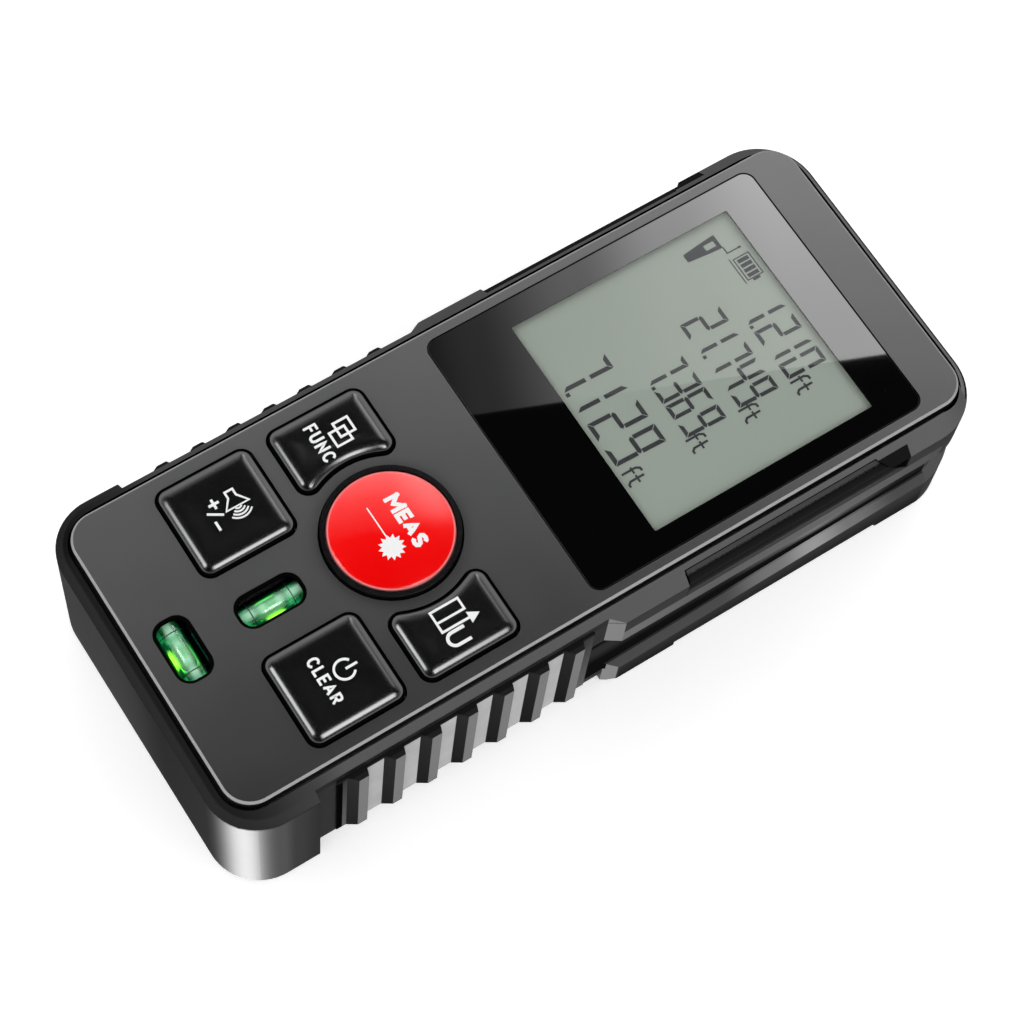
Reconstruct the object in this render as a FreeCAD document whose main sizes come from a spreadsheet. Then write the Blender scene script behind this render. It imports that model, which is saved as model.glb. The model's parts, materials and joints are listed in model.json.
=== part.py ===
import FreeCAD, Part
import os
import Sketcher

# Pocket laser distance meter, lying on its back.
# +Z out of the face, +Y towards the laser end, +X to the right of the display.
# Origin: middle of the footprint, on the back plane. Millimetres.

V = FreeCAD.Vector
doc = FreeCAD.newDocument("laser_distance_meter")
sheet = doc.addObject("Spreadsheet::Sheet", "dims")


class Q:
    """A number that remembers the sheet expression it comes from."""

    def __init__(self, value, text=None):
        self.v = float(value)
        self.t = text if text is not None else repr(float(value))
        self.bound = text is not None

    @staticmethod
    def of(other):
        return other if isinstance(other, Q) else Q(other)

    def _op(self, other, sign, value):
        other = Q.of(other)
        out = Q(value, "(%s %s %s)" % (self.t, sign, other.t))
        out.bound = self.bound or other.bound
        return out

    def __add__(self, o):
        return self._op(o, "+", self.v + Q.of(o).v)

    def __radd__(self, o):
        return Q.of(o) + self

    def __sub__(self, o):
        return self._op(o, "-", self.v - Q.of(o).v)

    def __rsub__(self, o):
        return Q.of(o) - self

    def __mul__(self, o):
        return self._op(o, "*", self.v * Q.of(o).v)

    def __rmul__(self, o):
        return Q.of(o) * self

    def __truediv__(self, o):
        return self._op(o, "/", self.v / Q.of(o).v)

    def __neg__(self):
        return Q(0.0) - self


row = [0]


def dim(alias, value, note):
    row[0] += 1
    sheet.set("A%d" % row[0], note)
    sheet.set("B%d" % row[0], repr(float(value)))
    sheet.setAlias("B%d" % row[0], alias)
    return Q(value, "dims." + alias)


# ---- driving dimensions -------------------------------------------------
length = dim("body_length", 112.0, "overall length")
width = dim("body_width", 48.4, "overall width over the blocks")
face = dim("face_height", 24.6, "back plane to face plane")
waist = dim("waist_half", 22.95, "half width of the recessed wall")
rim = dim("rim_drop", 0.8, "face plane to casing rim")
split = dim("split_height", 21.4, "front shell starts")
split_gap = dim("split_gap", 0.12, "shadow gap between the shells")
slope = dim("rim_slope", 2.25, "sloped rim, both legs")
r_low = dim("corner_low", 7.0, "plan corner radius, battery end")
r_top = dim("corner_top", 8.0, "plan corner radius, laser end")
block_low_y = dim("low_block_end", -44.35, "end of the battery end block")
rail_bottom = dim("rail_bottom", 15.5, "lower edge of the upper rail")
wall_in = dim("cavity_half", 20.9, "half width of the cavity")
floor = dim("floor_thick", 2.4, "rear shell floor")
gap_half = dim("gap_half", 21.9, "half width of the face recess")
gap_len = dim("gap_half_length", 54.35, "half length of the face recess")
seat = dim("plate_seat", 22.6, "face plate rests here")
plate_x = dim("plate_half", 21.45, "face plate half width")
plate_y = dim("plate_half_length", 53.88, "face plate half length")
plate_r = dim("plate_corner", 3.9, "face plate corner radius")
lens_w = dim("lens_width", 39.7, "display lens width")
lens_y0 = dim("lens_start", -2.5, "display lens near edge")
lens_y1 = dim("lens_end", 47.65, "display lens far edge")
lens_r = dim("lens_corner", 1.6, "display lens corner radius")
lens_t = dim("lens_thick", 0.7, "display lens thickness")
lcd_y = dim("lcd_centre", 25.3, "display centre")
view_w = dim("view_width", 33.0, "visible display width")
view_l = dim("view_length", 33.4, "visible display length")
meas_y = dim("measure_y", -19.6, "measure key centre")
meas_r = dim("measure_aperture", 9.02, "measure key aperture radius")
arc_r = dim("side_arc", 10.4, "concave side of the upper keys")
key_gap = dim("key_gap", 0.28, "play around the keys")
key_top = dim("key_top", 0.85, "keys stand this far above the face")
key_x1 = dim("key_outer", 19.5, "key aperture outer side")
up_y0 = dim("upper_key_low", -26.6, "upper key aperture, near side")
up_y1 = dim("upper_key_high", -12.4, "upper key aperture, far side")
lo_x0 = dim("lower_key_inner", 5.95, "lower key aperture inner side")
lo_y0 = dim("lower_key_low", -42.4, "lower key aperture, near side")
lo_y1 = dim("lower_key_high", -28.6, "lower key aperture, far side")
key_r = dim("key_corner", 1.8, "key aperture corner radius")
lip = dim("key_flange", 0.4, "key flange beyond the aperture")
travel = dim("key_travel", 0.5, "key travel")
board_z = dim("board_height", 17.0, "main board underside")
board_t = dim("board_thick", 1.2, "main board thickness")
vial_r = dim("vial_radius", 2.1, "level vial outside radius")
vial_b = dim("vial_bore", 1.55, "level vial bore radius")
vial_z = dim("vial_axis", 21.95, "level vial axis height")
cell_r = dim("cell_radius", 5.25, "battery cell radius")
cell_l = dim("cell_length", 43.5, "battery cell length without the nub")
cell_z = dim("cell_axis", 7.65, "battery cell axis height")
cell_x = dim("cell_offset", 5.4, "battery cell axis offset")
rib_n = dim("rib_count", 7, "grip ribs on each side")
rib_pitch = dim("rib_pitch", 5.17, "grip rib pitch")
rib_y = dim("rib_first", -38.85, "first grip rib, start of its flat")
rib_w = dim("rib_flat", 1.32, "width of the flat of a rib")
rib_head = dim("rib_head", 0.55, "bevel at the head of a rib")
grip_x = dim("grip_floor", 23.2, "half width at the grip floor")
half_w = width / 2
half_l = length / 2
doc.recompute()

# ---- helpers ------------------------------------------------------------


def bind(obj, prop, q):
    obj.setExpression(prop, Q.of(q).t)


def plane(body, role):
    for o in body.Origin.OriginFeatures:
        if o.Role == role:
            return o
    raise RuntimeError("no plane " + role)


def move(obj, x, y, z):
    for k, q in (("x", x), ("y", y), ("z", z)):
        bind(obj, "Placement.Base." + k, q)


def box(name, x0, x1, y0, y1, z0, z1):
    o = doc.addObject("Part::Box", name)
    bind(o, "Length", Q.of(x1) - x0)
    bind(o, "Width", Q.of(y1) - y0)
    bind(o, "Height", Q.of(z1) - z0)
    move(o, x0, y0, z0)
    return o


TURN = {"z": FreeCAD.Rotation(), "y": FreeCAD.Rotation(V(1, 0, 0), -90),
        "x": FreeCAD.Rotation(V(0, 1, 0), 90)}


def cyl(name, r, long, x, y, z, axis="z"):
    o = doc.addObject("Part::Cylinder", name)
    o.Placement = FreeCAD.Placement(V(0, 0, 0), TURN[axis])
    bind(o, "Radius", r)
    bind(o, "Height", long)
    move(o, x, y, z)
    return o


def cone(name, r1, r2, long, x, y, z, axis="z"):
    o = doc.addObject("Part::Cone", name)
    o.Placement = FreeCAD.Placement(V(0, 0, 0), TURN[axis])
    bind(o, "Radius1", r1)
    bind(o, "Radius2", r2)
    bind(o, "Height", long)
    move(o, x, y, z)
    return o


def ball(name, r, x, y, z):
    o = doc.addObject("Part::Sphere", name)
    bind(o, "Radius", r)
    move(o, x, y, z)
    return o


def torus(name, r1, r2, x, y, z, axis="z"):
    o = doc.addObject("Part::Torus", name)
    o.Placement = FreeCAD.Placement(V(0, 0, 0), TURN[axis])
    bind(o, "Radius1", r1)
    bind(o, "Radius2", r2)
    move(o, x, y, z)
    return o


def cut(name, base, tools):
    tool = tools if not isinstance(tools, (list, tuple)) else (
        tools[0] if len(tools) == 1 else fuse(name + "_tools", list(tools)))
    o = doc.addObject("Part::Cut", name)
    o.Base = base
    o.Tool = tool
    return o


def fuse(name, shapes):
    o = doc.addObject("Part::MultiFuse", name)
    o.Shapes = shapes
    return o


def common(name, shapes):
    o = doc.addObject("Part::MultiCommon", name)
    o.Shapes = shapes
    return o


def mirror_x(name, source):
    o = doc.addObject("Part::Mirroring", name)
    o.Source = source
    o.Base = V(0, 0, 0)
    o.Normal = V(1, 0, 0)
    return o


def sketch(body, name, pts, role, offset):
    """Closed polygon, every corner dimensioned from the origin."""
    sk = body.newObject("Sketcher::SketchObject", name)
    sk.AttachmentSupport = [(plane(body, role), "")]
    sk.MapMode = "FlatFace"
    bind(sk, "AttachmentOffset.Base.z", offset)
    n = len(pts)
    p = [(Q.of(a), Q.of(b)) for a, b in pts]
    for i in range(n):
        a, b = p[i], p[(i + 1) % n]
        sk.addGeometry(Part.LineSegment(V(a[0].v, a[1].v, 0), V(b[0].v, b[1].v, 0)), False)
    for i in range(n):
        sk.addConstraint(Sketcher.Constraint("Coincident", i, 2, (i + 1) % n, 1))
    for i in range(n):
        for axis, q, zero in (("DistanceX", p[i][0], -2), ("DistanceY", p[i][1], -1)):
            if abs(q.v) < 1e-9:
                sk.addConstraint(Sketcher.Constraint("PointOnObject", i, 1, zero))
            else:
                k = sk.addConstraint(Sketcher.Constraint(axis, -1, 1, i, 1, q.v))
                if q.bound:
                    sk.setExpression("Constraints[%d]" % k, q.t)
    return sk


def prism(name, pts, z0, z1, role="XY_Plane"):
    """Straight pad of a polygon. On XZ_Plane z0..z1 run along Y, on YZ_Plane along X."""
    b = doc.addObject("PartDesign::Body", name)
    if role == "XZ_Plane":
        sk = sketch(b, name + "_sketch", pts, role, -Q.of(z1))
    else:
        sk = sketch(b, name + "_sketch", pts, role, z0)
    pad = b.newObject("PartDesign::Pad", name + "_pad")
    pad.Profile = sk
    bind(pad, "Length", Q.of(z1) - z0)
    sk.Visibility = False
    return b


def edges_where(shape, test):
    out = []
    for i, e in enumerate(shape.Edges, 1):
        if test(e):
            out.append("Edge%d" % i)
    return out


def upright(e):
    b = e.BoundBox
    return b.XLength < 1e-6 and b.YLength < 1e-6 and b.ZLength > 1e-3


def finish(body, kind, name, names, size):
    """Fillet or chamfer the named edges of the body's tip."""
    tip = body.Tip
    f = body.newObject("PartDesign::" + kind, name)
    f.Base = (tip, names)
    bind(f, "Radius" if kind == "Fillet" else "Size", size)
    doc.recompute()
    return f


def rounded(name, x0, x1, y0, y1, z0, z1, r, r2=None, top=None, top_kind="Fillet",
            bottom=None):
    """Rectangular pad with rounded upright corners; r2 rounds the +Y pair."""
    b = prism(name, [(x0, y0), (x1, y0), (x1, y1), (x0, y1)], z0, z1)
    doc.recompute()
    mid = (Q.of(y0).v + Q.of(y1).v) / 2
    if r2 is None:
        finish(b, "Fillet", name + "_corners",
               edges_where(b.Shape, upright), r)
    else:
        finish(b, "Fillet", name + "_near",
               edges_where(b.Shape, lambda e: upright(e) and e.CenterOfMass.y < mid
                           and abs(e.Length - (Q.of(z1).v - Q.of(z0).v)) < 1e-6), r)
        finish(b, "Fillet", name + "_far",
               edges_where(b.Shape, lambda e: upright(e) and abs(e.CenterOfMass.y - Q.of(y1).v) < 1e-6
                           and min(abs(e.CenterOfMass.x - Q.of(x0).v),
                                   abs(e.CenterOfMass.x - Q.of(x1).v)) < 1e-6), r2)
    if top is not None:
        zz = Q.of(z1).v
        finish(b, top_kind, name + "_top",
               edges_where(b.Shape, lambda e: abs(e.BoundBox.ZMin - zz) < 1e-6
                           and abs(e.BoundBox.ZMax - zz) < 1e-6), top)
    if bottom is not None:
        zz = Q.of(z0).v
        finish(b, "Chamfer", name + "_foot",
               edges_where(b.Shape, lambda e: abs(e.BoundBox.ZMin - zz) < 1e-6
                           and abs(e.BoundBox.ZMax - zz) < 1e-6), bottom)
    return b


nodes = []


def node(obj, label):
    obj.Label = label
    nodes.append((obj, label))
    return obj


# ---- outer casing -------------------------------------------------------
rear_top = split - split_gap

# side recess that holds the grips: everything outside the waist wall
recess_r = prism("recess_right", [(waist, block_low_y), (30, block_low_y), (30, 8.4),
                                  (half_w, -0.45), (waist, -2.35)], -1, 30)
recess_l = prism("recess_left", [(-waist, block_low_y), (-30, block_low_y), (-30, 8.4),
                                 (-half_w, -0.45), (-waist, -2.35)], -1, 30)

# slot in the flank of each upper rail, slanted at its far end
slot_y0 = dim("slot_start", 9.0, "flank slot start")
slot_y1 = dim("slot_end", 43.4, "flank slot end at its lower edge")
slot_d = dim("slot_depth", 0.7, "flank slot depth")
inlay_g = dim("inlay_gap", 0.32, "groove around the slot inlay")
doc.recompute()


def flank(side, z_low, x_top, deep, y0, y1, name, slant):
    """Strip that follows the sloped rim and the upright flank, for slot and inlay."""
    s = side
    pts = [(s * x_top, face - rim + 22.0 - x_top - 0.05),
           (s * (x_top - deep * 0.707), face - rim + 22.0 - x_top - 0.05 - deep * 0.707),
           (s * (half_w - deep), face - rim - slope + 0.05 - deep * 0.41),
           (s * (half_w - deep), z_low),
           (s * (half_w + 1.6), z_low),
           (s * (half_w + 1.6), face - rim + 0.6),
           (s * (x_top + 0.9), face - rim + 22.0 - x_top + 0.85)]
    body = prism(name, pts, y0, y1, role="XZ_Plane")
    # slanted far end: a wedge removes the upper part of the end
    wedge = prism(name + "_slant", [(y1 + 0.5, z_low - 0.6), (y1 + 0.5, 26.5), (y1 - slant - 1.5, 26.5),
                                    (y1 - slant, face - 1.6), (y1, z_low)],
                  -30, 30, role="YZ_Plane")
    return cut(name + "_run", body, wedge)


slot_zl = face - 6.3
slot_r = flank(1, slot_zl, 22.55, slot_d, slot_y0, slot_y1, "slot_right", 4.9)
slot_l = flank(-1, slot_zl, 22.55, slot_d, slot_y0, slot_y1, "slot_left", 4.9)

# --- front shell: sloped rim, ledge for the face plate, locating lip, bosses
f_outer = rounded("front_outer", -half_w, half_w, -half_l, half_l, split, face - rim,
                  r_low, r_top, top=slope, top_kind="Chamfer")
f_mouth = rounded("front_mouth", -gap_half, gap_half, -gap_len, gap_len, seat, face + 1, 4.4)
f_well = rounded("front_well", -20.4, 20.4, -52.8, 52.8, split - 1, seat + 1, 3.0)
f_lip_o = rounded("lip_outer", -(wall_in - 0.2), wall_in - 0.2, -52.75, 52.75, split - 1.8, split + 0.4, 4.6, 5.6)
f_lip_i = rounded("lip_inner", -20.0, 20.0, -52.05, 52.05, split - 2, split + 1, 3.9, 4.9)
f_lip = cut("lip_ring", f_lip_o, f_lip_i)
f_ring = cut("front_ring", f_outer, [f_mouth, f_well])
boss_pts = [(17.0, -48.5), (-17.0, -48.5), (17.2, 49.6), (-17.2, 49.6)]
boss_z = 19.0
decks = [box("deck_lr", 13.5, 20.8, -53.2, -45.0, split, seat),
         box("deck_ll", -20.8, -13.5, -53.2, -45.0, split, seat),
         box("deck_ur", 13.5, 20.8, 46.2, 53.2, split, seat),
         box("deck_ul", -20.8, -13.5, 46.2, 53.2, split, seat)]
bosses = [cyl("boss_f%d" % i, 2.4, seat - boss_z, x, y, boss_z) for i, (x, y) in enumerate(boss_pts)]
holes = [cyl("boss_fh%d" % i, 0.95, 2.9, x, y, boss_z - 0.1) for i, (x, y) in enumerate(boss_pts)]
f_all = fuse("front_all", [f_ring, f_lip] + decks + bosses)
f_trim = common("front_trim", [f_all, rounded("front_limit", -half_w, half_w, -half_l, half_l,
                                              boss_z - 1, face + 1, r_low, r_top)])
node(cut("front_shell_cut", f_trim, holes + [recess_r, recess_l, slot_r, slot_l]), "front_housing")

# --- rear shell: waist, battery end block, upper rail, lower rail
core = rounded("core_block", -waist, waist, -(half_l - 1.25), half_l - 1.25, 0, rear_top,
               5.9, 6.9, bottom=2.6)
full = rounded("full_block", -half_w, half_w, -half_l, half_l, 0, rear_top, r_low, r_top, bottom=0.8)
low_zone = box("low_zone", -30, 30, -60, block_low_y, -1, 30)
low_block = common("low_block", [full, low_zone])
rail_zone = prism("rail_zone", [(half_w, -0.45), (30, 8.4), (30, 60), (-30, 60), (-30, 8.4),
                                (-half_w, -0.45), (-waist, -2.35), (waist, -2.35)],
                  rail_bottom, 30)
upper_rail = common("upper_rail", [full, rail_zone])
# lower rail: its shoulder rises towards the laser end, so the block is tipped about X
tip_block = rounded("tip_block", -24.15, 24.15, -62, 60, -6, 6.6, 7.9, 9.0, top=1.9,
                    top_kind="Chamfer")
tip_block.Placement = FreeCAD.Placement(V(0, 0, 0), FreeCAD.Rotation(V(1, 0, 0), 2.75))
lower_zone = prism("lower_zone", [(24.2, 0.55), (30, 9.4), (30, 60), (-30, 60), (-30, 9.4),
                                  (-24.2, 0.55), (-waist, -1.3), (waist, -1.3)], -1, 20)
lower_rail = common("lower_rail", [full, tip_block, lower_zone])
# shallow relief along the lower edge of the lower rail
relief_r = prism("relief_right", [(24.3, -1), (24.3, 1.9), (23.6, 0.75), (23.1, -1)], 9.4, 42.0, role="XZ_Plane")
relief_l = prism("relief_left", [(-24.3, -1), (-24.3, 1.9), (-23.6, 0.75), (-23.1, -1)], 9.4, 42.0, role="XZ_Plane")
r_skin = cut("rear_skin", fuse("rear_solid", [core, low_block, upper_rail, lower_rail]),
             [relief_r, relief_l])
cavity = rounded("rear_cavity", -wall_in, wall_in, -52.95, 52.95, floor, 30, 4.8, 5.8)
r_shell = cut("rear_shell", r_skin, cavity)
# battery bay, bosses and optics posts stand on the floor
bay = cut("bay_walls", box("bay_outer", -12.8, 12.8, -48.6, 0.9, floor - 0.2, 13.6),
          box("bay_inner", -11.4, 11.4, -47.5, -0.3, floor - 1, 14))
r_boss = [cyl("boss_r%d" % i, 2.7, boss_z - floor + 0.2, x, y, floor - 0.2)
          for i, (x, y) in enumerate(boss_pts)]
r_more = fuse("rear_built", [r_shell, bay] + r_boss)
door_x = dim("door_half", 12.0, "battery door half width")
door_y0 = dim("door_low", -47.6, "battery door latch end")
door_y1 = dim("door_high", -1.3, "battery door hinge end")
door_z0 = dim("door_skin", 0.2, "battery door outer face")
door_z1 = dim("door_inner", 1.7, "battery door inner face")
pin_y = dim("door_pin_y", 0.35, "battery door hinge axis, y")
pin_z = dim("door_pin_z", 1.1, "battery door hinge axis, z")
pin_r = dim("door_pin_radius", 0.72, "battery door hinge knuckle radius")
doc.recompute()
door_open = rounded("door_mouth", -(door_x + 0.22), door_x + 0.22, door_y0 - 0.25, door_y1 + 0.6,
                    -1, 1.8, 1.2)
bay_mouth = box("bay_mouth", -11.4, 11.4, -46.8, -1.9, -1, floor + 1)
notches = [box("notch_r", 4.6, 9.4, -1.0, 1.4, -1, 2.15), box("notch_l", -9.4, -4.6, -1.0, 1.4, -1, 2.15)]
scoop = cyl("finger_scoop", 5.0, 12, -6, -49.4, -3.6, axis="x")
win_x = dim("window_half", 17.0, "end window half width")
win_z0 = dim("window_low", 3.9, "end window lower edge")
win_z1 = dim("window_high", 16.4, "end window upper edge")
eye_z = dim("optic_axis", 10.1, "height of both optic axes")
laser_x = dim("laser_axis_x", -9.4, "laser axis")
eye_x = dim("receiver_axis_x", 4.8, "receiver axis")
eye_r = dim("receiver_lens_radius", 5.6, "receiver lens radius")
doc.recompute()
win_pocket = prism("window_pocket", [(-(win_x + 0.15), win_z0 - 0.15), (win_x + 0.15, win_z0 - 0.15),
                                     (win_x + 0.15, win_z1 + 0.15), (-(win_x + 0.15), win_z1 + 0.15)],
                   54.0, 58.0, role="XZ_Plane")
# the end wall stands proud around the window
win_frame = box("window_frame", -19.2, 19.2, 52.9, 55.9, 2.6, 17.7)
win_frame_in = common("window_frame_in", [win_frame, full])
eye_hole = cyl("receiver_port", eye_r - 0.4, 8, eye_x, 50, eye_z, axis="y")
las_hole = cyl("laser_port", 2.6, 8, laser_x, 50, eye_z, axis="y")
frame_keep = cut("frame_keep", fuse("rear_framed", [r_more, win_frame_in]),
                 [win_pocket, eye_hole, las_hole])
bores = [cyl("screw_bore%d" % i, 2.1, 5.0, x, y, -1) for i, (x, y) in enumerate(boss_pts)] + \
        [cyl("screw_way%d" % i, 1.15, 30, x, y, -1) for i, (x, y) in enumerate(boss_pts)]
label_bed = rounded("label_bed", -13.1, 13.1, 9.9, 40.1, -1, 0.35, 1.2)
# pocket for each grip, 0.8 deep in the waist wall
grip_z0 = dim("grip_low", 3.05, "grip lower edge")
grip_y0 = dim("grip_start", -41.4, "grip start")
grip_y1 = dim("grip_end", -4.4, "grip end")
doc.recompute()
pocket_r = box("grip_pocket_r", waist - 0.8, 26, grip_y0, grip_y1, grip_z0, rear_top + 1)
pocket_l = box("grip_pocket_l", -26, -(waist - 0.8), grip_y0, grip_y1, grip_z0, rear_top + 1)
node(cut("rear_shell_cut", frame_keep,
         bores + notches + [door_open, bay_mouth, scoop, label_bed, pocket_r, pocket_l, slot_r, slot_l]),
     "rear_housing")

# --- ribbed grips
ribs_top = rear_top


def grip(side, label):
    s = side
    pad = box("grip_pad_" + label, waist - 0.8 if s > 0 else -grip_x, grip_x if s > 0 else -(waist - 0.8),
              grip_y0, grip_y1, grip_z0, ribs_top)
    b = doc.addObject("PartDesign::Body", "ribs_" + label)
    y0 = rib_y
    sk = sketch(b, "rib_" + label, [(s * (grip_x - 0.4), y0 - 1.7), (s * half_w, y0), (s * half_w, y0 + rib_w),
                                    (s * (grip_x - 0.4), y0 + rib_w + 0.35)], "XY_Plane", grip_z0)
    pd = b.newObject("PartDesign::Pad", "rib_pad_" + label)
    pd.Profile = sk
    bind(pd, "Length", ribs_top - grip_z0)
    pat = b.newObject("PartDesign::LinearPattern", "rib_row_" + label)
    pat.Originals = [pd]
    pat.Direction = (sk, ["V_Axis"])
    bind(pat, "Length", rib_pitch * (rib_n - 1))
    bind(pat, "Occurrences", rib_n)
    b.Tip = pat
    # sloped heads and feet of the ribs
    heads = prism("rib_heads_" + label, [(s * (half_w - rib_head), ribs_top + 0.001), (s * (half_w + 1), ribs_top + 0.001),
                                         (s * (half_w + 1), ribs_top - 1.0 - rib_head), (s * half_w, ribs_top - rib_head)],
                  -50, 0, role="XZ_Plane")
    feet = prism("rib_feet_" + label, [(s * (grip_x + 0.0), grip_z0 - 0.001), (s * (half_w + 1), grip_z0 - 0.001),
                                       (s * (half_w + 1), grip_z0 + 1.2), (s * half_w, grip_z0 + 0.6)],
                 -50, 0, role="XZ_Plane")
    node(cut("grip_cut_" + label, fuse("grip_all_" + label, [pad, b]), [heads, feet]), label)


grip(1, "right_grip")
grip(-1, "left_grip")

# --- slot inlays, with a groove all round
for s, label, tag in ((1, "right_slot_inlay", "r"), (-1, "left_slot_inlay", "l")):
    strip = flank(s, slot_zl + inlay_g, 22.55 + 0.25, slot_d - 0.05, slot_y0 + inlay_g, slot_y1 - 0.62,
                  "inlay_" + tag, 4.75)
    # keep only the layer on the floor of the slot
    skin = flank(s, slot_zl - 0.5, 22.2, 0.38, slot_y0 - 1, slot_y1 + 2, "inlay_skin_" + tag, 1.0)
    node(cut("inlay_cut_" + tag, strip, skin), label)

# ---- face plate ---------------------------------------------------------
plate = rounded("plate_blank", -plate_x, plate_x, -plate_y, plate_y, seat, face, plate_r, top=0.3,
                top_kind="Chamfer")


def key_hole(name, x0, x1, y0, y1, z0, z1, grow, r, arc=None):
    """Rounded key outline. grow widens it; arc bites the side towards the measure key."""
    if arc is None:
        return rounded(name, Q.of(x0) - grow, Q.of(x1) + grow, Q.of(y0) - grow, Q.of(y1) + grow, z0, z1,
                       Q.of(r) + grow)
    b = prism(name, [(Q.of(x0) - grow, Q.of(y0) - grow), (Q.of(x1) + grow, Q.of(y0) - grow),
                     (Q.of(x1) + grow, Q.of(y1) + grow), (Q.of(x0) - grow, Q.of(y1) + grow)], z0, z1)
    sk = b.newObject("Sketcher::SketchObject", name + "_arc")
    sk.AttachmentSupport = [(plane(b, "XY_Plane"), "")]
    sk.MapMode = "FlatFace"
    bind(sk, "AttachmentOffset.Base.z", Q.of(z0) - 1)
    sk.addGeometry(Part.Circle(V(0, meas_y.v, 0), V(0, 0, 1), Q.of(arc).v - Q.of(grow).v), False)
    k = sk.addConstraint(Sketcher.Constraint("Radius", 0, Q.of(arc).v - Q.of(grow).v))
    sk.setExpression("Constraints[%d]" % k, (Q.of(arc) - grow).t)
    sk.addConstraint(Sketcher.Constraint("PointOnObject", 0, 3, -2))
    k = sk.addConstraint(Sketcher.Constraint("DistanceY", -1, 1, 0, 3, meas_y.v))
    sk.setExpression("Constraints[%d]" % k, meas_y.t)
    doc.recompute()
    before = b.Shape.Volume
    p = b.newObject("PartDesign::Pocket", name + "_bite")
    p.Profile = sk
    bind(p, "Length", Q.of(z1) - z0 + 2)
    p.Reversed = True
    doc.recompute()
    if b.Shape.Volume > before - 0.5:
        raise RuntimeError("the bite of %s cuts nothing" % name)
    finish(b, "Fillet", name + "_round", edges_where(b.Shape, upright), Q.of(r) + grow)
    return b


ARC_X0 = 4.0
apertures = [
    key_hole("hole_area", ARC_X0, key_x1, up_y0, up_y1, seat - 1, face + 1, 0, key_r, arc_r),
    key_hole("hole_clear", lo_x0, key_x1, lo_y0, lo_y1, seat - 1, face + 1, 0, key_r),
    key_hole("hole_sound", -key_x1, -lo_x0, lo_y0, lo_y1, seat - 1, face + 1, 0, key_r),
    key_hole("hole_func", -key_x1, -ARC_X0, up_y0, up_y1, seat - 1, face + 1, 0, key_r, arc_r),
    cyl("hole_measure", meas_r, 4, 0, meas_y, seat - 1),
    rounded("hole_long_vial", -2.4, 2.4, -41.4, -32.2, seat - 1, face + 1, 2.0),
    rounded("hole_cross_vial", -4.5, 4.5, -51.4, -46.4, seat - 1, face + 1, 2.0),
    rounded("hole_lens", -(lens_w / 2 + 0.15), lens_w / 2 + 0.15, lens_y0 - 0.15, lens_y1 + 0.15,
            face - 1.0, face + 1, lens_r + 0.15),
    rounded("hole_display", -17.4, 17.4, lcd_y - 17.7, lcd_y + 17.7, seat - 1, face + 1, 0.8),
    box("relief_long_vial", -2.3, 2.3, -42.05, -31.55, seat - 1, 24.12),
    box("relief_cross_vial", -5.25, 5.25, -51.2, -46.6, seat - 1, 24.12)]
post_pts = [(11.0, -45.0), (-11.0, -45.0), (12.0, 45.2), (-12.0, 45.2)]
under = board_z + board_t
posts = [cyl("post%d" % i, 1.5, seat - under + 0.2, x, y, under) for i, (x, y) in enumerate(post_pts)]
post_holes = [cyl("post_hole%d" % i, 0.82, 3.6, x, y, under - 0.2) for i, (x, y) in enumerate(post_pts)]
node(cut("plate_final", fuse("plate_posts", [cut("plate_open", plate, apertures)] + posts), post_holes),
     "face_plate")

# ---- display stack ------------------------------------------------------
lens_z1 = face - 0.05
lens_z0 = lens_z1 - lens_t
node(rounded("display_lens_pad", -lens_w / 2, lens_w / 2, lens_y0, lens_y1, lens_z0, lens_z1, lens_r,
             top=0.12), "display_lens")
mask = rounded("mask_blank", -(lens_w / 2 - 0.2), lens_w / 2 - 0.2, lens_y0 + 0.2, lens_y1 - 0.2,
               lens_z0 - 0.1, lens_z0, lens_r - 0.2)
view = rounded("mask_view", -view_w / 2, view_w / 2, lcd_y - view_l / 2, lcd_y + view_l / 2,
               lens_z0 - 1, lens_z0 + 1, 0.25)
node(cut("mask_cut", mask, view), "lens_mask")
gasket = rounded("gasket_blank", -(lens_w / 2 - 0.3), lens_w / 2 - 0.3, lens_y0 + 0.3, lens_y1 - 0.3,
                 face - 1.0, lens_z0 - 0.1, 1.2)
gasket_in = rounded("gasket_in", -17.7, 17.7, lcd_y - 18.0, lcd_y + 18.0, face - 2, face, 0.8)
node(cut("gasket_cut", gasket, gasket_in), "lens_gasket")
lcd_top = face - 1.2
node(rounded("lcd_glass", -17.1, 17.1, lcd_y - 17.4, lcd_y + 17.4, lcd_top - 1.1, lcd_top, 0.3), "lcd_panel")
node(rounded("light_guide", -16.6, 16.6, lcd_y - 16.9, lcd_y + 16.9, lcd_top - 2.3, lcd_top - 1.15, 0.4),
     "backlight")
fr_o = rounded("lcd_frame_outer", -18.4, 18.4, lcd_y - 19.6, lcd_y + 18.3, under + 0.05, seat - 0.1, 1.0)
fr_i = box("lcd_frame_well", -17.2, 17.2, lcd_y - 17.5, lcd_y + 17.5, lcd_top - 2.4, seat + 1)
fr_b = box("lcd_frame_low", -15.6, 15.6, lcd_y - 15.9, lcd_y + 15.9, under - 1, seat)
fr_s = box("lcd_frame_slot", -15.0, 15.0, lcd_y - 19.0, lcd_y - 17.55, under - 1, seat + 1)
node(cut("lcd_frame_cut", fr_o, [fr_i, fr_b, fr_s]), "lcd_frame")
node(box("zebra_strip", -14.8, 14.8, lcd_y - 18.9, lcd_y - 17.65, under, seat - 0.3), "lcd_connectors")

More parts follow.
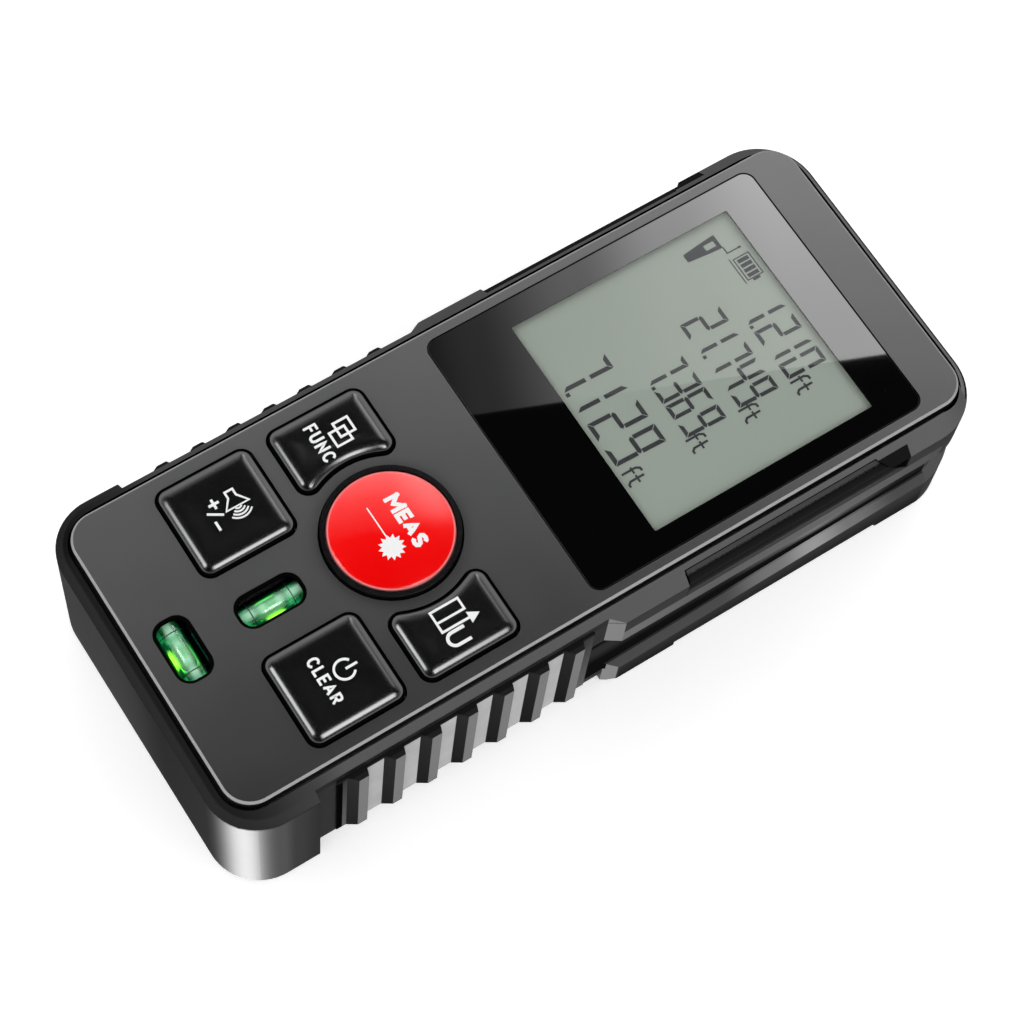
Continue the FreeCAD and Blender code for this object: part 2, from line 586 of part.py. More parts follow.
# ---- main board ---------------------------------------------------------
board = rounded("board_blank", -20.2, 20.2, -46.9, 46.7, board_z, under, 1.5)
b_cuts = [box("board_notch_r", 13.6, 22, -50, -45.3, 10, 20), box("board_notch_l", -22, -13.6, -50, -45.3, 10, 20)]
b_cuts += [cyl("board_hole%d" % i, 0.95, 3, x, y, board_z - 1) for i, (x, y) in enumerate(post_pts)]
node(cut("board_cut", board, b_cuts), "main_board")
chips = [box("chip_cpu", -5, 4, 5, 14, board_z - 1.3, board_z),
         box("chip_flash", 8, 13, 7, 12, board_z - 1.0, board_z),
         box("chip_power", -15, -11, 8, 12, board_z - 0.9, board_z),
         cyl("crystal", 1.3, 1.6, -9, 18, board_z - 1.6),
         box("chip_amp", 6, 11, 18, 23, board_z - 1.1, board_z),
         box("coil", -16.6, -12.4, 17.5, 21.7, board_z - 1.6, board_z)]
node(fuse("chip_group", chips), "board_chips")
node(cut("buzzer_cut", cyl("buzzer_can", 3.2, 3.4, 16.6, -9, board_z - 3.4),
         cyl("buzzer_port", 0.6, 1.2, 16.6, -9, board_z - 3.6)), "buzzer")

# ---- keys ---------------------------------------------------------------
flange_z0 = seat - 0.7
flange_z1 = seat - 0.08
stem_z = under + 2.7
sw_pts = {"func": (-14.2, -19.5), "area": (14.2, -19.5), "sound": (-12.7, -35.5), "clear": (12.7, -35.5),
          "measure": (0, -19.6)}
outline = {"func": (-key_x1, -Q(ARC_X0), up_y0, up_y1, arc_r), "area": (Q(ARC_X0), key_x1, up_y0, up_y1, arc_r),
           "sound": (-key_x1, -lo_x0, lo_y0, lo_y1, None), "clear": (lo_x0, key_x1, lo_y0, lo_y1, None)}
for k in ("func", "area", "sound", "clear"):
    x0, x1, y0, y1, arc = outline[k]
    cap = key_hole(k + "_cap", x0, x1, y0, y1, flange_z0, face + key_top, -key_gap, key_r, arc)
    zt = (face + key_top).v
    finish(cap, "Fillet", k + "_crown",
           edges_where(cap.Shape, lambda e: abs(e.BoundBox.ZMin - zt) < 1e-6 and abs(e.BoundBox.ZMax - zt) < 1e-6),
           0.7)
    rim_k = key_hole(k + "_rim", x0, x1, y0, y1, flange_z0, flange_z1, lip, key_r, arc)
    x, y = sw_pts[k]
    stem = cyl(k + "_stem", 1.6, flange_z0 - stem_z + 0.1, x, y, stem_z)
    node(fuse(k + "_whole", [cap, rim_k, stem]), k + "_key")

ring_o = cyl("ring_body", meas_r - 0.27, face + 0.95 - flange_z0, 0, meas_y, flange_z0)
ring_f = cyl("ring_flange", meas_r + lip, flange_z1 - flange_z0, 0, meas_y, flange_z0)
ring_s = cyl("ring_stem", 1.6, flange_z0 - stem_z + 0.1, 0, meas_y, stem_z)
ring_seat = cyl("ring_seat", 8.15, 3, 0, meas_y, face + 0.2)
node(cut("ring_cut", fuse("ring_all", [ring_o, ring_f, ring_s]), ring_seat), "measure_ring")
cap_r = dim("cap_radius", 8.1, "red cap radius")
cap_h = dim("cap_top", 1.55, "top of the red cap above the face")
cap_s = dim("cap_sphere", 46.0, "radius of the crown of the red cap")
doc.recompute()
cap_b = cyl("cap_body", cap_r, cap_h - 0.2 + 0.2, 0, meas_y, face + 0.2)
cap_f = doc.addObject("Part::Fillet", "cap_edge")
cap_dome = common("cap_domed", [cap_b, ball("cap_crown", cap_s, 0, meas_y, face + cap_h - cap_s)])
doc.recompute()
cap_f.Base = cap_dome
cap_f.Edges = [(i, 0.45, 0.45) for i, e in enumerate(cap_dome.Shape.Edges, 1)
               if e.BoundBox.ZMin > face.v + 0.5 and e.BoundBox.XLength > 10]
node(cap_f, "measure_cap")

# tact switches: bodies on the board, plungers move with the keys
sw_parts, sw_bores = [], []
for k, (x, y) in sw_pts.items():
    sw_parts.append(box("sw_" + k, x - 2.6, x + 2.6, y - 2.6, y + 2.6, under, under + 1.9))
    sw_bores.append(cyl("sw_bore_" + k, 1.35, 1.4, x, y, under + 0.6))
    node(cyl(k + "_plunger_pin", 1.2, stem_z - under - 1.3, x, y, under + 1.3), k + "_plunger")
node(cut("switch_cut", fuse("switch_group", sw_parts), sw_bores), "tact_switches")

mat = rounded("mat_blank", -19.9, 19.9, -43.2, -11.0, under + 2.05, under + 2.45, 1.5)
mat_cuts = [cyl("mat_hole_" + k, 2.0, 3, x, y, under + 1) for k, (x, y) in sw_pts.items()]
mat_cuts += [box("mat_vial", -5.6, 5.6, -44, -30.2, under, seat)]
node(cut("mat_cut", mat, mat_cuts), "keypad_mat")

# ---- level vials --------------------------------------------------------
vl = dim("vial_length", 10.2, "level vial length")
long_y = dim("long_vial_y", -36.8, "long vial centre")
cross_y = dim("cross_vial_y", -48.9, "cross vial centre")
doc.recompute()
lv_o = cyl("long_tube", vial_r, vl, 0, long_y - vl / 2, vial_z, axis="y")
lv_i = cyl("long_bore", vial_b, vl + 2, 0, long_y - vl / 2 - 1, vial_z, axis="y")
node(cut("long_tube_cut", lv_o, lv_i), "long_vial")
cv_o = cyl("cross_tube", vial_r, vl, -vl / 2, cross_y, vial_z, axis="x")
cv_i = cyl("cross_bore", vial_b, vl + 2, -vl / 2 - 1, cross_y, vial_z, axis="x")
node(cut("cross_tube_cut", cv_o, cv_i), "cross_vial")
plugs = [cyl("plug_a", vial_b, 0.9, 0, long_y - vl / 2, vial_z, axis="y"),
         cyl("plug_b", vial_b, 0.9, 0, long_y + vl / 2 - 0.9, vial_z, axis="y"),
         cyl("plug_c", vial_b, 0.9, -vl / 2, cross_y, vial_z, axis="x"),
         cyl("plug_d", vial_b, 0.9, vl / 2 - 0.9, cross_y, vial_z, axis="x")]
node(fuse("plug_group", plugs), "vial_plugs")
hold = fuse("holder_blank", [box("holder_long", -3.4, 3.4, -43.6, -31.0, under + 0.6, seat - 0.1),
                             box("holder_cross", -6.6, 6.6, -51.9, -45.9, under + 0.6, seat - 0.1),
                             box("holder_neck", -2.0, 2.0, -46.5, -43.0, under + 0.6, seat - 0.1)])
lv_bed = cyl("long_bed", vial_r + 0.02, vl + 0.1, 0, long_y - vl / 2 - 0.05, vial_z, axis="y")
cv_bed = cyl("cross_bed", vial_r + 0.02, vl + 0.1, -vl / 2 - 0.05, cross_y, vial_z, axis="x")
lv_lid = box("long_lid", -(vial_r + 0.02), vial_r + 0.02, long_y - vl / 2 - 0.05, long_y + vl / 2 + 0.05,
             vial_z, 26)
cv_lid = box("cross_lid", -vl / 2 - 0.05, vl / 2 + 0.05, cross_y - vial_r - 0.02, cross_y + vial_r + 0.02,
             vial_z, 26)
node(cut("holder_cut", hold, [lv_bed, cv_bed, lv_lid, cv_lid]), "vial_holder")
bub_r = dim("bubble_radius", 1.1, "bubble radius")
bub_l = dim("bubble_run", 2.0, "bubble length between its round ends")
bub_z = vial_z + vial_b - bub_r - 0.06
doc.recompute()
node(fuse("bubble_a", [cyl("bubble_a_mid", bub_r, bub_l, 0, long_y - bub_l / 2, bub_z, axis="y"),
                       ball("bubble_a_lo", bub_r, 0, long_y - bub_l / 2, bub_z),
                       ball("bubble_a_hi", bub_r, 0, long_y + bub_l / 2, bub_z)]), "long_bubble")
node(fuse("bubble_b", [cyl("bubble_b_mid", bub_r, bub_l, -bub_l / 2, cross_y, bub_z, axis="x"),
                       ball("bubble_b_lo", bub_r, -bub_l / 2, cross_y, bub_z),
                       ball("bubble_b_hi", bub_r, bub_l / 2, cross_y, bub_z)]), "cross_bubble")

# ---- optics -------------------------------------------------------------
chassis = rounded("chassis_blank", -13.9, 13.9, 28.0, 52.8, floor + 0.1, 16.0, 1.5)
ch_cuts = [cyl("laser_bore", 3.3, 40, laser_x, 25, eye_z, axis="y"),
           cyl("lens_seat", eye_r + 0.05, 6, eye_x, 48.6, eye_z, axis="y"),
           cone("light_cone", 2.6, eye_r - 0.6, 18, eye_x, 31.0, eye_z, axis="y"),
           cyl("sensor_seat", 2.9, 5, eye_x, 27, eye_z, axis="y"),
           cyl("lens_throat", eye_r - 0.7, 1.0, eye_x, 48.0, eye_z, axis="y")]
node(cut("chassis_cut", chassis, ch_cuts), "optics_frame")
brl = cyl("barrel_tube", 3.25, 18.5, laser_x, 34.0, eye_z, axis="y")
brl_b = [cyl("barrel_bore", 2.15, 30, laser_x, 30, eye_z, axis="y"),
         cyl("barrel_back", 2.82, 3.2, laser_x, 33.5, eye_z, axis="y")]
node(cut("barrel_cut", brl, brl_b), "laser_barrel")
ld = [cyl("diode_flange", 2.8, 1.2, laser_x, 34.3, eye_z, axis="y"),
      cyl("diode_can", 1.75, 2.2, laser_x, 35.5, eye_z, axis="y")]
for i, (dx, dz) in enumerate(((-0.9, 0), (0.9, 0), (0, 0.9))):
    ld.append(cyl("diode_pin%d" % i, 0.22, 5.0, laser_x + dx, 29.4, eye_z + dz, axis="y"))
node(fuse("diode_all", ld), "laser_diode")
node(common("collimator_all", [cyl("collimator_rim", 2.1, 2.0, laser_x, 49.2, eye_z, axis="y"),
                               ball("collimator_face", 5.2, laser_x, 51.2 - 5.2, eye_z)]), "collimator_lens")
node(common("receiver_all", [cyl("receiver_rim", eye_r, 3.6, eye_x, 49.05, eye_z, axis="y"),
                             ball("receiver_face", 16.0, eye_x, 52.6 - 16.0, eye_z)]), "receiver_lens")
node(box("sensor_card", eye_x - 6.5, eye_x + 6.5, 26.7, 27.7, 4.2, 16.0), "sensor_board")
node(fuse("sensor_can", [cyl("sensor_body", 2.6, 2.6, eye_x, 27.7, eye_z, axis="y"),
                         cyl("sensor_eye", 1.2, 0.3, eye_x, 30.3, eye_z, axis="y")]), "photodiode")
win = prism("window_blank", [(-win_x, win_z0), (win_x, win_z0), (win_x, win_z1), (-win_x, win_z1)],
            54.05, 55.45, role="XZ_Plane")
doc.recompute()
finish(win, "Fillet", "window_corners",
       edges_where(win.Shape, lambda e: e.BoundBox.XLength < 1e-6 and e.BoundBox.ZLength < 1e-6), 1.6)
node(win, "end_window")

# ---- power --------------------------------------------------------------
cell_y0 = Q(-45.8)
cells = []
for i, s in enumerate((1, -1)):
    yb = cell_y0 if s > 0 else cell_y0 + 1.0
    cells.append(cyl("cell_body%d" % i, cell_r, cell_l, s * cell_x, yb, cell_z, axis="y"))
    cells.append(cyl("cell_nub%d" % i, 1.7, 1.0, s * cell_x,
                     (yb + cell_l) if s > 0 else (yb - 1.0), cell_z, axis="y"))
node(fuse("cell_group", cells), "battery_cells")
springs = []
for i in range(3):
    springs.append(torus("coil_a%d" % i, 2.6 - 0.3 * i, 0.24, cell_x, -46.95 + 0.42 * i, cell_z, axis="y"))
    springs.append(torus("coil_b%d" % i, 2.6 - 0.3 * i, 0.24, -cell_x, -0.75 - 0.14 * i, cell_z, axis="y"))
node(fuse("spring_group", springs), "contact_springs")
node(fuse("contact_group", [box("contact_plus", -9.5, -2.2, -47.4, -47.15, 3.6, board_z),
                            box("contact_minus", 2.2, 9.5, -47.4, -47.2, 3.6, board_z),
                            box("contact_bridge", -10.6, 10.6, -0.50, -0.30, 3.6, 12.4)]), "contact_plates")

door = rounded("door_blank", -door_x, door_x, door_y0, door_y1, door_z0, door_z1, 1.0)
knuckles = [cyl("knuckle_r", pin_r, 4.4, 4.8, pin_y, pin_z, axis="x"),
            cyl("knuckle_l", pin_r, 4.4, -9.2, pin_y, pin_z, axis="x"),
            box("arm_r", 4.8, 9.2, door_y1 - 0.5, pin_y, pin_z - 0.45, pin_z + 0.45),
            box("arm_l", -9.2, -4.8, door_y1 - 0.5, pin_y, pin_z - 0.45, pin_z + 0.45)]
grooves = [box("grip_line%d" % i, -5, 5, door_y0 + 3.2 + 1.5 * i, door_y0 + 3.8 + 1.5 * i, 0, door_z0 + 0.35)
           for i in range(4)]
node(cut("door_cut", fuse("door_all", [door] + knuckles), grooves), "battery_door")
node(box("foam_strip", -2.6, 2.6, -32.0, -14.0, door_z1, 2.5), "door_pad")

# ---- fasteners, label ---------------------------------------------------
scr = []
for i, (x, y) in enumerate(boss_pts):
    scr.append(cut("screw%d" % i, fuse("screw_raw%d" % i, [cyl("head%d" % i, 1.9, 1.3, x, y, 2.7),
                                                          cyl("shank%d" % i, 0.93, 17.5, x, y, 4.0)]),
                   [box("slot_a%d" % i, x - 1.2, x + 1.2, y - 0.25, y + 0.25, 2.0, 3.3),
                    box("slot_b%d" % i, x - 0.25, x + 0.25, y - 1.2, y + 1.2, 2.0, 3.3)]))
node(fuse("screw_group", scr), "housing_screws")
bsc = []
for i, (x, y) in enumerate(post_pts):
    bsc.append(cyl("bs_head%d" % i, 1.5, 0.9, x, y, board_z - 0.9))
    bsc.append(cyl("bs_shank%d" % i, 0.8, 4.2, x, y, board_z))
node(fuse("board_screw_group", bsc), "board_screws")
node(rounded("label_blank", -12.9, 12.9, 10.1, 39.9, 0.15, 0.35, 1.0), "back_label")

# ---- check and write ----------------------------------------------------
doc.recompute()
bad = [o.Name for o in doc.Objects if "Invalid" in o.State or "Error" in o.State]
if bad:
    raise RuntimeError("failed features: " + ", ".join(bad))
os.makedirs("parts", exist_ok=True)
labels = set()
for obj, label in nodes:
    s = obj.Shape
    if s.isNull() or not s.isValid() or not s.Solids:
        raise RuntimeError("bad shape: " + label)
    if label in labels:
        raise RuntimeError("label used twice: " + label)
    labels.add(label)
for obj, label in nodes:
    s = obj.Shape
    s.exportStep("parts/%s.step" % label)
    bb = s.BoundBox
    print("%-18s solids %d  vol %9.2f  x %7.2f %7.2f  y %7.2f %7.2f  z %6.2f %6.2f" % (
        label, len(s.Solids), s.Volume, bb.XMin, bb.XMax, bb.YMin, bb.YMax, bb.ZMin, bb.ZMax))
print(len(nodes), "nodes")
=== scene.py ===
import bpy, bmesh, json, math, random
from mathutils import Matrix, Vector


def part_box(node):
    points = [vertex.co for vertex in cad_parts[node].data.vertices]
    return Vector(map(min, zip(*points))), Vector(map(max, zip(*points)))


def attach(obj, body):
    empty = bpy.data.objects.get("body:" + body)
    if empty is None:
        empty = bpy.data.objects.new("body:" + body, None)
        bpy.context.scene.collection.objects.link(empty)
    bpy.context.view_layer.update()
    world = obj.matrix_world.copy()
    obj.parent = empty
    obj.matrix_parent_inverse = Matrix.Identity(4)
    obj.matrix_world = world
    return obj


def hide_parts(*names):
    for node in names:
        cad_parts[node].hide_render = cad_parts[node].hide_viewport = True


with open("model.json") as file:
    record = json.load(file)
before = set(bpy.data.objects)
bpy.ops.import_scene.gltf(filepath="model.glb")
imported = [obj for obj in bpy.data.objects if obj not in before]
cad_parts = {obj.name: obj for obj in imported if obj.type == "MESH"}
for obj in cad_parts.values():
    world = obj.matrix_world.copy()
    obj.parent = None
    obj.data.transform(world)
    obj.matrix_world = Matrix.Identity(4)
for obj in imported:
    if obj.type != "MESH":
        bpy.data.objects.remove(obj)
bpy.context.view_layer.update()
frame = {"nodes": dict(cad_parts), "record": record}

MM = 0.001
nodes = frame["nodes"]
scene = bpy.context.scene
scene.view_settings.view_transform = "Standard"
random.seed(7)
FACE = 24.6   # face plane, mm

# ======================================================================= camera
el, az, roll = math.radians(65.982), math.radians(49.117), math.radians(8.867)
c_right = Vector((math.cos(az), math.sin(az), 0))
c_back = Vector((math.sin(az) * math.cos(el), -math.cos(az) * math.cos(el), math.sin(el)))
c_up = c_back.cross(c_right)
cam = bpy.data.objects.new("camera", bpy.data.cameras.new("camera"))
scene.collection.objects.link(cam)
cam.data.lens, cam.data.sensor_width = 99.40, 36.0
cam.data.clip_start, cam.data.clip_end = 0.01, 20
cm = Matrix((math.cos(roll) * c_right + math.sin(roll) * c_up,
             math.cos(roll) * c_up - math.sin(roll) * c_right, c_back)).transposed().to_4x4()
cm.translation = Vector((0.112758, -0.098338, 0.343376))
cam.matrix_world = cm
scene.camera = cam


# ======================================================================= materials
class N:
    """Small node-tree builder."""

    def __init__(self, name, **set_):
        self.m = bpy.data.materials.new(name)
        self.m.use_nodes = True
        self.t = self.m.node_tree
        self.p = self.t.nodes["Principled BSDF"]
        self.out = self.t.nodes["Material Output"]
        tc = self.new("ShaderNodeTexCoord")
        self.co, self.nrm = tc.outputs["Object"], tc.outputs["Normal"]
        for k, v in set_.items():
            self.set(k, v)

    def new(self, kind, **props):
        n = self.t.nodes.new(kind)
        for k, v in props.items():
            setattr(n, k, v)
        return n

    def set(self, key, v):
        s = self.p.inputs[key.replace("_", " ")]
        s.default_value = (*v, 1) if isinstance(v, tuple) and len(v) == 3 else v

    def link(self, a, b):
        self.t.links.new(a, b)

    def noise(self, scale, detail=3.0, rough=0.5, stretch=None, dist=0.0):
        n = self.new("ShaderNodeTexNoise")
        n.inputs["Scale"].default_value = scale
        n.inputs["Detail"].default_value = detail
        n.inputs["Roughness"].default_value = rough
        n.inputs["Distortion"].default_value = dist
        if stretch:
            mp = self.new("ShaderNodeMapping")
            mp.inputs["Scale"].default_value = stretch
            self.link(self.co, mp.inputs["Vector"])
            self.link(mp.outputs[0], n.inputs["Vector"])
        else:
            self.link(self.co, n.inputs["Vector"])
        return n.outputs["Fac"]

    def voronoi(self, scale, feature="F1"):
        n = self.new("ShaderNodeTexVoronoi", feature=feature)
        n.inputs["Scale"].default_value = scale
        self.link(self.co, n.inputs["Vector"])
        return n.outputs["Distance"]

    def remap(self, fac, a, b, lo=0.3, hi=0.7):
        n = self.new("ShaderNodeMapRange")
        for i, v in zip(("From Min", "From Max", "To Min", "To Max"), (lo, hi, a, b)):
            n.inputs[i].default_value = v
        self.link(fac, n.inputs["Value"])
        return n.outputs["Result"]

    def math(self, op, a, b=None, clamp=False):
        n = self.new("ShaderNodeMath", operation=op, use_clamp=clamp)
        for i, v in enumerate((a, b)):
            if v is None:
                continue
            if isinstance(v, (int, float)):
                n.inputs[i].default_value = v
            else:
                self.link(v, n.inputs[i])
        return n.outputs[0]

    def ramp(self, fac, stops, interp="LINEAR"):
        n = self.new("ShaderNodeValToRGB")
        n.color_ramp.interpolation = interp
        e = n.color_ramp.elements
        while len(e) < len(stops):
            e.new(0.5)
        for el_, (pos, col) in zip(e, stops):
            el_.position = pos
            el_.color = (*col, 1) if len(col) == 3 else col
        self.link(fac, n.inputs["Fac"])
        return n.outputs["Color"]

    def mix(self, fac, a, b, blend="MIX"):
        n = self.new("ShaderNodeMix", data_type="RGBA", blend_type=blend)
        for i, v in ((0, fac), (6, a), (7, b)):
            if isinstance(v, (int, float)):
                n.inputs[i].default_value = v
            elif isinstance(v, tuple):
                n.inputs[i].default_value = (*v, 1)
            else:
                self.link(v, n.inputs[i])
        return n.outputs[2]

    def xyz(self):
        n = self.new("ShaderNodeSeparateXYZ")
        self.link(self.co, n.inputs[0])
        return n.outputs

    def nz(self):
        n = self.new("ShaderNodeSeparateXYZ")
        self.link(self.nrm, n.inputs[0])
        return n.outputs[2]

    def ny(self):
        n = self.new("ShaderNodeSeparateXYZ")
        self.link(self.nrm, n.inputs[0])
        return n.outputs[1]

    def bump(self, height, dist, strength=1.0, prev=None):
        n = self.new("ShaderNodeBump")
        n.inputs["Strength"].default_value = strength
        n.inputs["Distance"].default_value = dist
        self.link(height, n.inputs["Height"])
        if prev is not None:
            self.link(prev, n.inputs["Normal"])
        return n.outputs[0]

    def done(self, col=None, rough=None, normal=None):
        if col is not None:
            self.link(col, self.p.inputs["Base Color"])
        if rough is not None:
            self.link(rough, self.p.inputs["Roughness"])
        if normal is not None:
            self.link(normal, self.p.inputs["Normal"])
        return self.m


def shade(c, k):
    return tuple(min(1.0, v * k) for v in c)


def moulded(name, col, rough, grain=5200, depth=0.000012, var=0.10, rvar=0.07, **kw):
    """Satin moulded plastic: fine spark-eroded grain, faint tone drift, scuffed gloss."""
    n = N(name, **kw)
    big = n.noise(70, 4)
    fine = n.noise(grain, 2, 0.6)
    c = n.ramp(n.math("ADD", n.math("MULTIPLY", big, 0.7), n.math("MULTIPLY", fine, 0.3)),
               [(0.25, shade(col, 1 - var)), (0.75, shade(col, 1 + var))])
    r = n.math("ADD", n.remap(n.noise(160, 5, 0.65), rough - rvar, rough + rvar), n.remap(fine, -0.02, 0.02))
    return n.done(c, r, n.bump(fine, depth, 0.6))


def metal(name, col, rough, stretch=(1, 1, 1), scale=3000, depth=0.000006, **kw):
    n = N(name, Metallic=1.0, **kw)
    g = n.noise(scale, 3, 0.6, stretch=stretch)
    b = n.noise(220, 4)
    return n.done(n.ramp(b, [(0.2, shade(col, 0.86)), (0.8, shade(col, 1.1))]),
                  n.remap(g, rough - 0.08, rough + 0.1), n.bump(g, depth, 0.5))


def gloss(name, col, rough, coat=0.0, coat_rough=0.03, var=0.12, swirl=900, **kw):
    """Polished plastic with faint dust haze in its gloss."""
    n = N(name, **kw)
    if coat:
        n.set("Coat_Weight", coat)
        n.set("Coat_Roughness", coat_rough)
    b = n.noise(90, 4)
    s = n.noise(swirl, 5, 0.7)
    return n.done(n.ramp(b, [(0.25, shade(col, 1 - var)), (0.75, shade(col, 1 + var))]),
                  n.math("MAXIMUM", n.remap(s, rough - 0.02, rough + 0.05), 0.02), n.bump(s, 0.000002, 0.25))


M = {}
# casing: satin dark grey; the shells carry painted sheen, painted highlights and painted shade on their corners, rails
# and flanks
def shell_material():
    """Lower casing: satin plastic with painted light: a painted sheen lighter toward the +Y end, painted highlights on
    the upper rail face, recess, lower slope, near corner block and far flank, and painted shade in a line under the
    rail, round the slots, low on the outer faces and along the end wall.
    """
    n = N("casing_satin", Specular_IOR_Level=0.55)
    x, y, z = n.xyz()
    nz = n.nz()
    ax, ay = n.math("ABSOLUTE", x), n.math("ABSOLUTE", y)
    fine, big = n.noise(4200, 2, 0.6), n.noise(60, 4)

    def band(v, lo_, hi_):
        return n.math("MULTIPLY", n.math("GREATER_THAN", v, lo_), n.math("LESS_THAN", v, hi_))

    def both(p_, q_):
        return n.math("MULTIPLY", p_, q_)
    # base tone lightens toward the +Y end: painted sheen
    c = n.ramp(n.math("ADD", n.math("MULTIPLY", y, 1 / 0.112), n.math("ADD", 0.5, n.remap(big, -0.08, 0.08))),
               [(0.0, (0.017, 0.017, 0.0175)), (0.5, (0.022, 0.022, 0.0225)), (1.0, (0.034, 0.034, 0.035))])
    side = both(n.math("GREATER_THAN", ax, 22.0 * MM), band(y, -6 * MM, 49 * MM))
    # lower outer faces of the flank: painted shade, darker towards the bottom
    low = both(both(side, n.math("GREATER_THAN", ax, 24.05 * MM)), n.math("LESS_THAN", z, 7.6 * MM))
    low = both(low, n.math("LESS_THAN", nz, 0.3))
    c = n.mix(low, c, n.ramp(n.math("MULTIPLY", z, 1 / (7.6 * MM)), [(0.1, (0.004, 0.004, 0.004)), (0.95, (0.03, 0.03, 0.03))]))
    # a soft painted highlight centred near y = 31 mm, laid on the recess and the lower slope
    soft_ = n.math("ADD", n.math("ABSOLUTE", n.math("SUBTRACT", n.math("MULTIPLY", y, 1 / (15 * MM)), 31.0 / 15)), n.remap(big, -0.06, 0.06))
    flank_highlight_ = n.ramp(soft_, [(0.0, (0.26, 0.26, 0.26)), (0.40, (0.12, 0.12, 0.12)), (0.95, (0.022, 0.022, 0.022))], "EASE")
    # recess: a black line of painted shade just under the upper rail, with the painted highlight below it
    recess = both(both(side, n.math("LESS_THAN", ax, 23.15 * MM)), band(z, 4.0 * MM, 15.46 * MM))
    c = n.mix(recess, c, n.mix(n.ramp(n.math("MULTIPLY", z, 1 / (16 * MM)), [(0.56, (0, 0, 0)), (0.74, (1, 1, 1)), (0.86, (1, 1, 1)), (0.93, (0, 0, 0))]),
                               (0.004, 0.004, 0.004), flank_highlight_))
    # lower slope: the same painted highlight
    slope = both(both(side, band(nz, 0.45, 0.9)), n.math("LESS_THAN", z, 9 * MM))
    c = n.mix(slope, c, flank_highlight_)
    # upper rail outer face: painted highlight, a light band fading along its length
    face_ = both(both(both(side, n.math("GREATER_THAN", ax, 23.45 * MM)), band(z, 15.44 * MM, 18.36 * MM)), n.math("GREATER_THAN", n.ny(), -0.25))
    c = n.mix(face_, c, n.ramp(n.math("ADD", n.math("MULTIPLY", y, 1 / (60 * MM)), n.remap(fine, -0.02, 0.02)),
                               [(0.0, (0.125, 0.125, 0.125)), (0.2, (0.085, 0.085, 0.085)), (0.55, (0.10, 0.10, 0.10)), (0.85, (0.055, 0.055, 0.055))]))
    end_ = n.math("LESS_THAN", n.ny(), -0.25)
    top_ = both(both(both(side, n.math("GREATER_THAN", ax, 23.45 * MM)), n.math("GREATER_THAN", z, 18.36 * MM)), n.math("SUBTRACT", 1.0, end_))
    c = n.mix(both(top_, n.math("GREATER_THAN", y, -6 * MM)), c, (0.030, 0.030, 0.030))
    # near corner block: painted highlight by the corner, fading to painted shade toward the grip
    block_ = both(both(n.math("GREATER_THAN", ax, 23.3 * MM), n.math("LESS_THAN", nz, 0.5)),
                  n.ramp(n.math("MULTIPLY", n.math("ADD", y, 53 * MM), 1 / (12 * MM)),
                         [(0.0, (0, 0, 0)), (0.35, (1, 1, 1)), (0.97, (1, 1, 1)), (0.99, (0, 0, 0))]))
    c = n.mix(block_, c, n.ramp(n.math("MULTIPLY", n.math("ADD", y, 56 * MM), 1 / (14 * MM)),
                                [(0.46, (0.06, 0.06, 0.06)), (0.60, (0.03, 0.03, 0.03)), (0.85, (0.016, 0.016, 0.016)), (1.0, (0.006, 0.006, 0.006))], "EASE"))
    # upper part of the far (-X) flank painted light grey: painted light
    far_ = both(n.math("LESS_THAN", x, -23.4 * MM), n.math("GREATER_THAN", z, 15.6 * MM))
    c = n.mix(far_, c, (0.12, 0.12, 0.12))
    # round the slot: painted shade, near black
    slot = both(both(band(y, 8.95 * MM, 43.15 * MM), n.math("GREATER_THAN", z, 18.34 * MM)), side)
    c = n.mix(slot, c, n.mix(n.math("GREATER_THAN", y, 42.85 * MM), (0.0015, 0.0015, 0.0015), (0.010, 0.010, 0.010)))
    matt = n.math("MAXIMUM", n.math("MAXIMUM", recess, slot), n.math("MAXIMUM", n.math("MULTIPLY", low, 0.8), n.math("MULTIPLY", face_, 0.6)))
    matt = n.math("MAXIMUM", matt, n.math("MULTIPLY", n.math("MAXIMUM", top_, block_), 0.75))
    # painted shade along the end wall towards the rounded corner: the colour darkens and the specular fades there
    end_shade = n.ramp(n.math("MULTIPLY", n.math("ADD", x, 22 * MM), 1 / (44 * MM)), [(0.0, (0, 0, 0)), (0.25, (0.30, 0.30, 0.30)), (0.66, (0.93, 0.93, 0.93)), (1.0, (0.90, 0.90, 0.90))], "EASE")
    endw = n.ramp(n.math("MULTIPLY", n.math("ADD", y, 56 * MM), 1 / (2.6 * MM)), [(0.02, (1, 1, 1)), (0.9, (0, 0, 0))], "EASE")
    keep = n.math("MULTIPLY", n.math("SUBTRACT", 1.0, matt), n.math("SUBTRACT", 1.0, n.math("MULTIPLY", end_shade, endw)))
    n.link(n.math("MULTIPLY", keep, 0.55), n.p.inputs["Specular IOR Level"])
    c = n.mix(n.math("MULTIPLY", n.math("MULTIPLY", end_shade, endw), 0.95), c, (0.004, 0.004, 0.004))
    r_ = n.math("ADD", n.remap(big, 0.31, 0.34), n.remap(fine, -0.015, 0.015))
    r_ = n.math("ADD", r_, n.math("MULTIPLY", matt, 0.45))
    return n.done(c, r_, n.bump(fine, 0.00001, 0.6))


M["shell"] = shell_material()


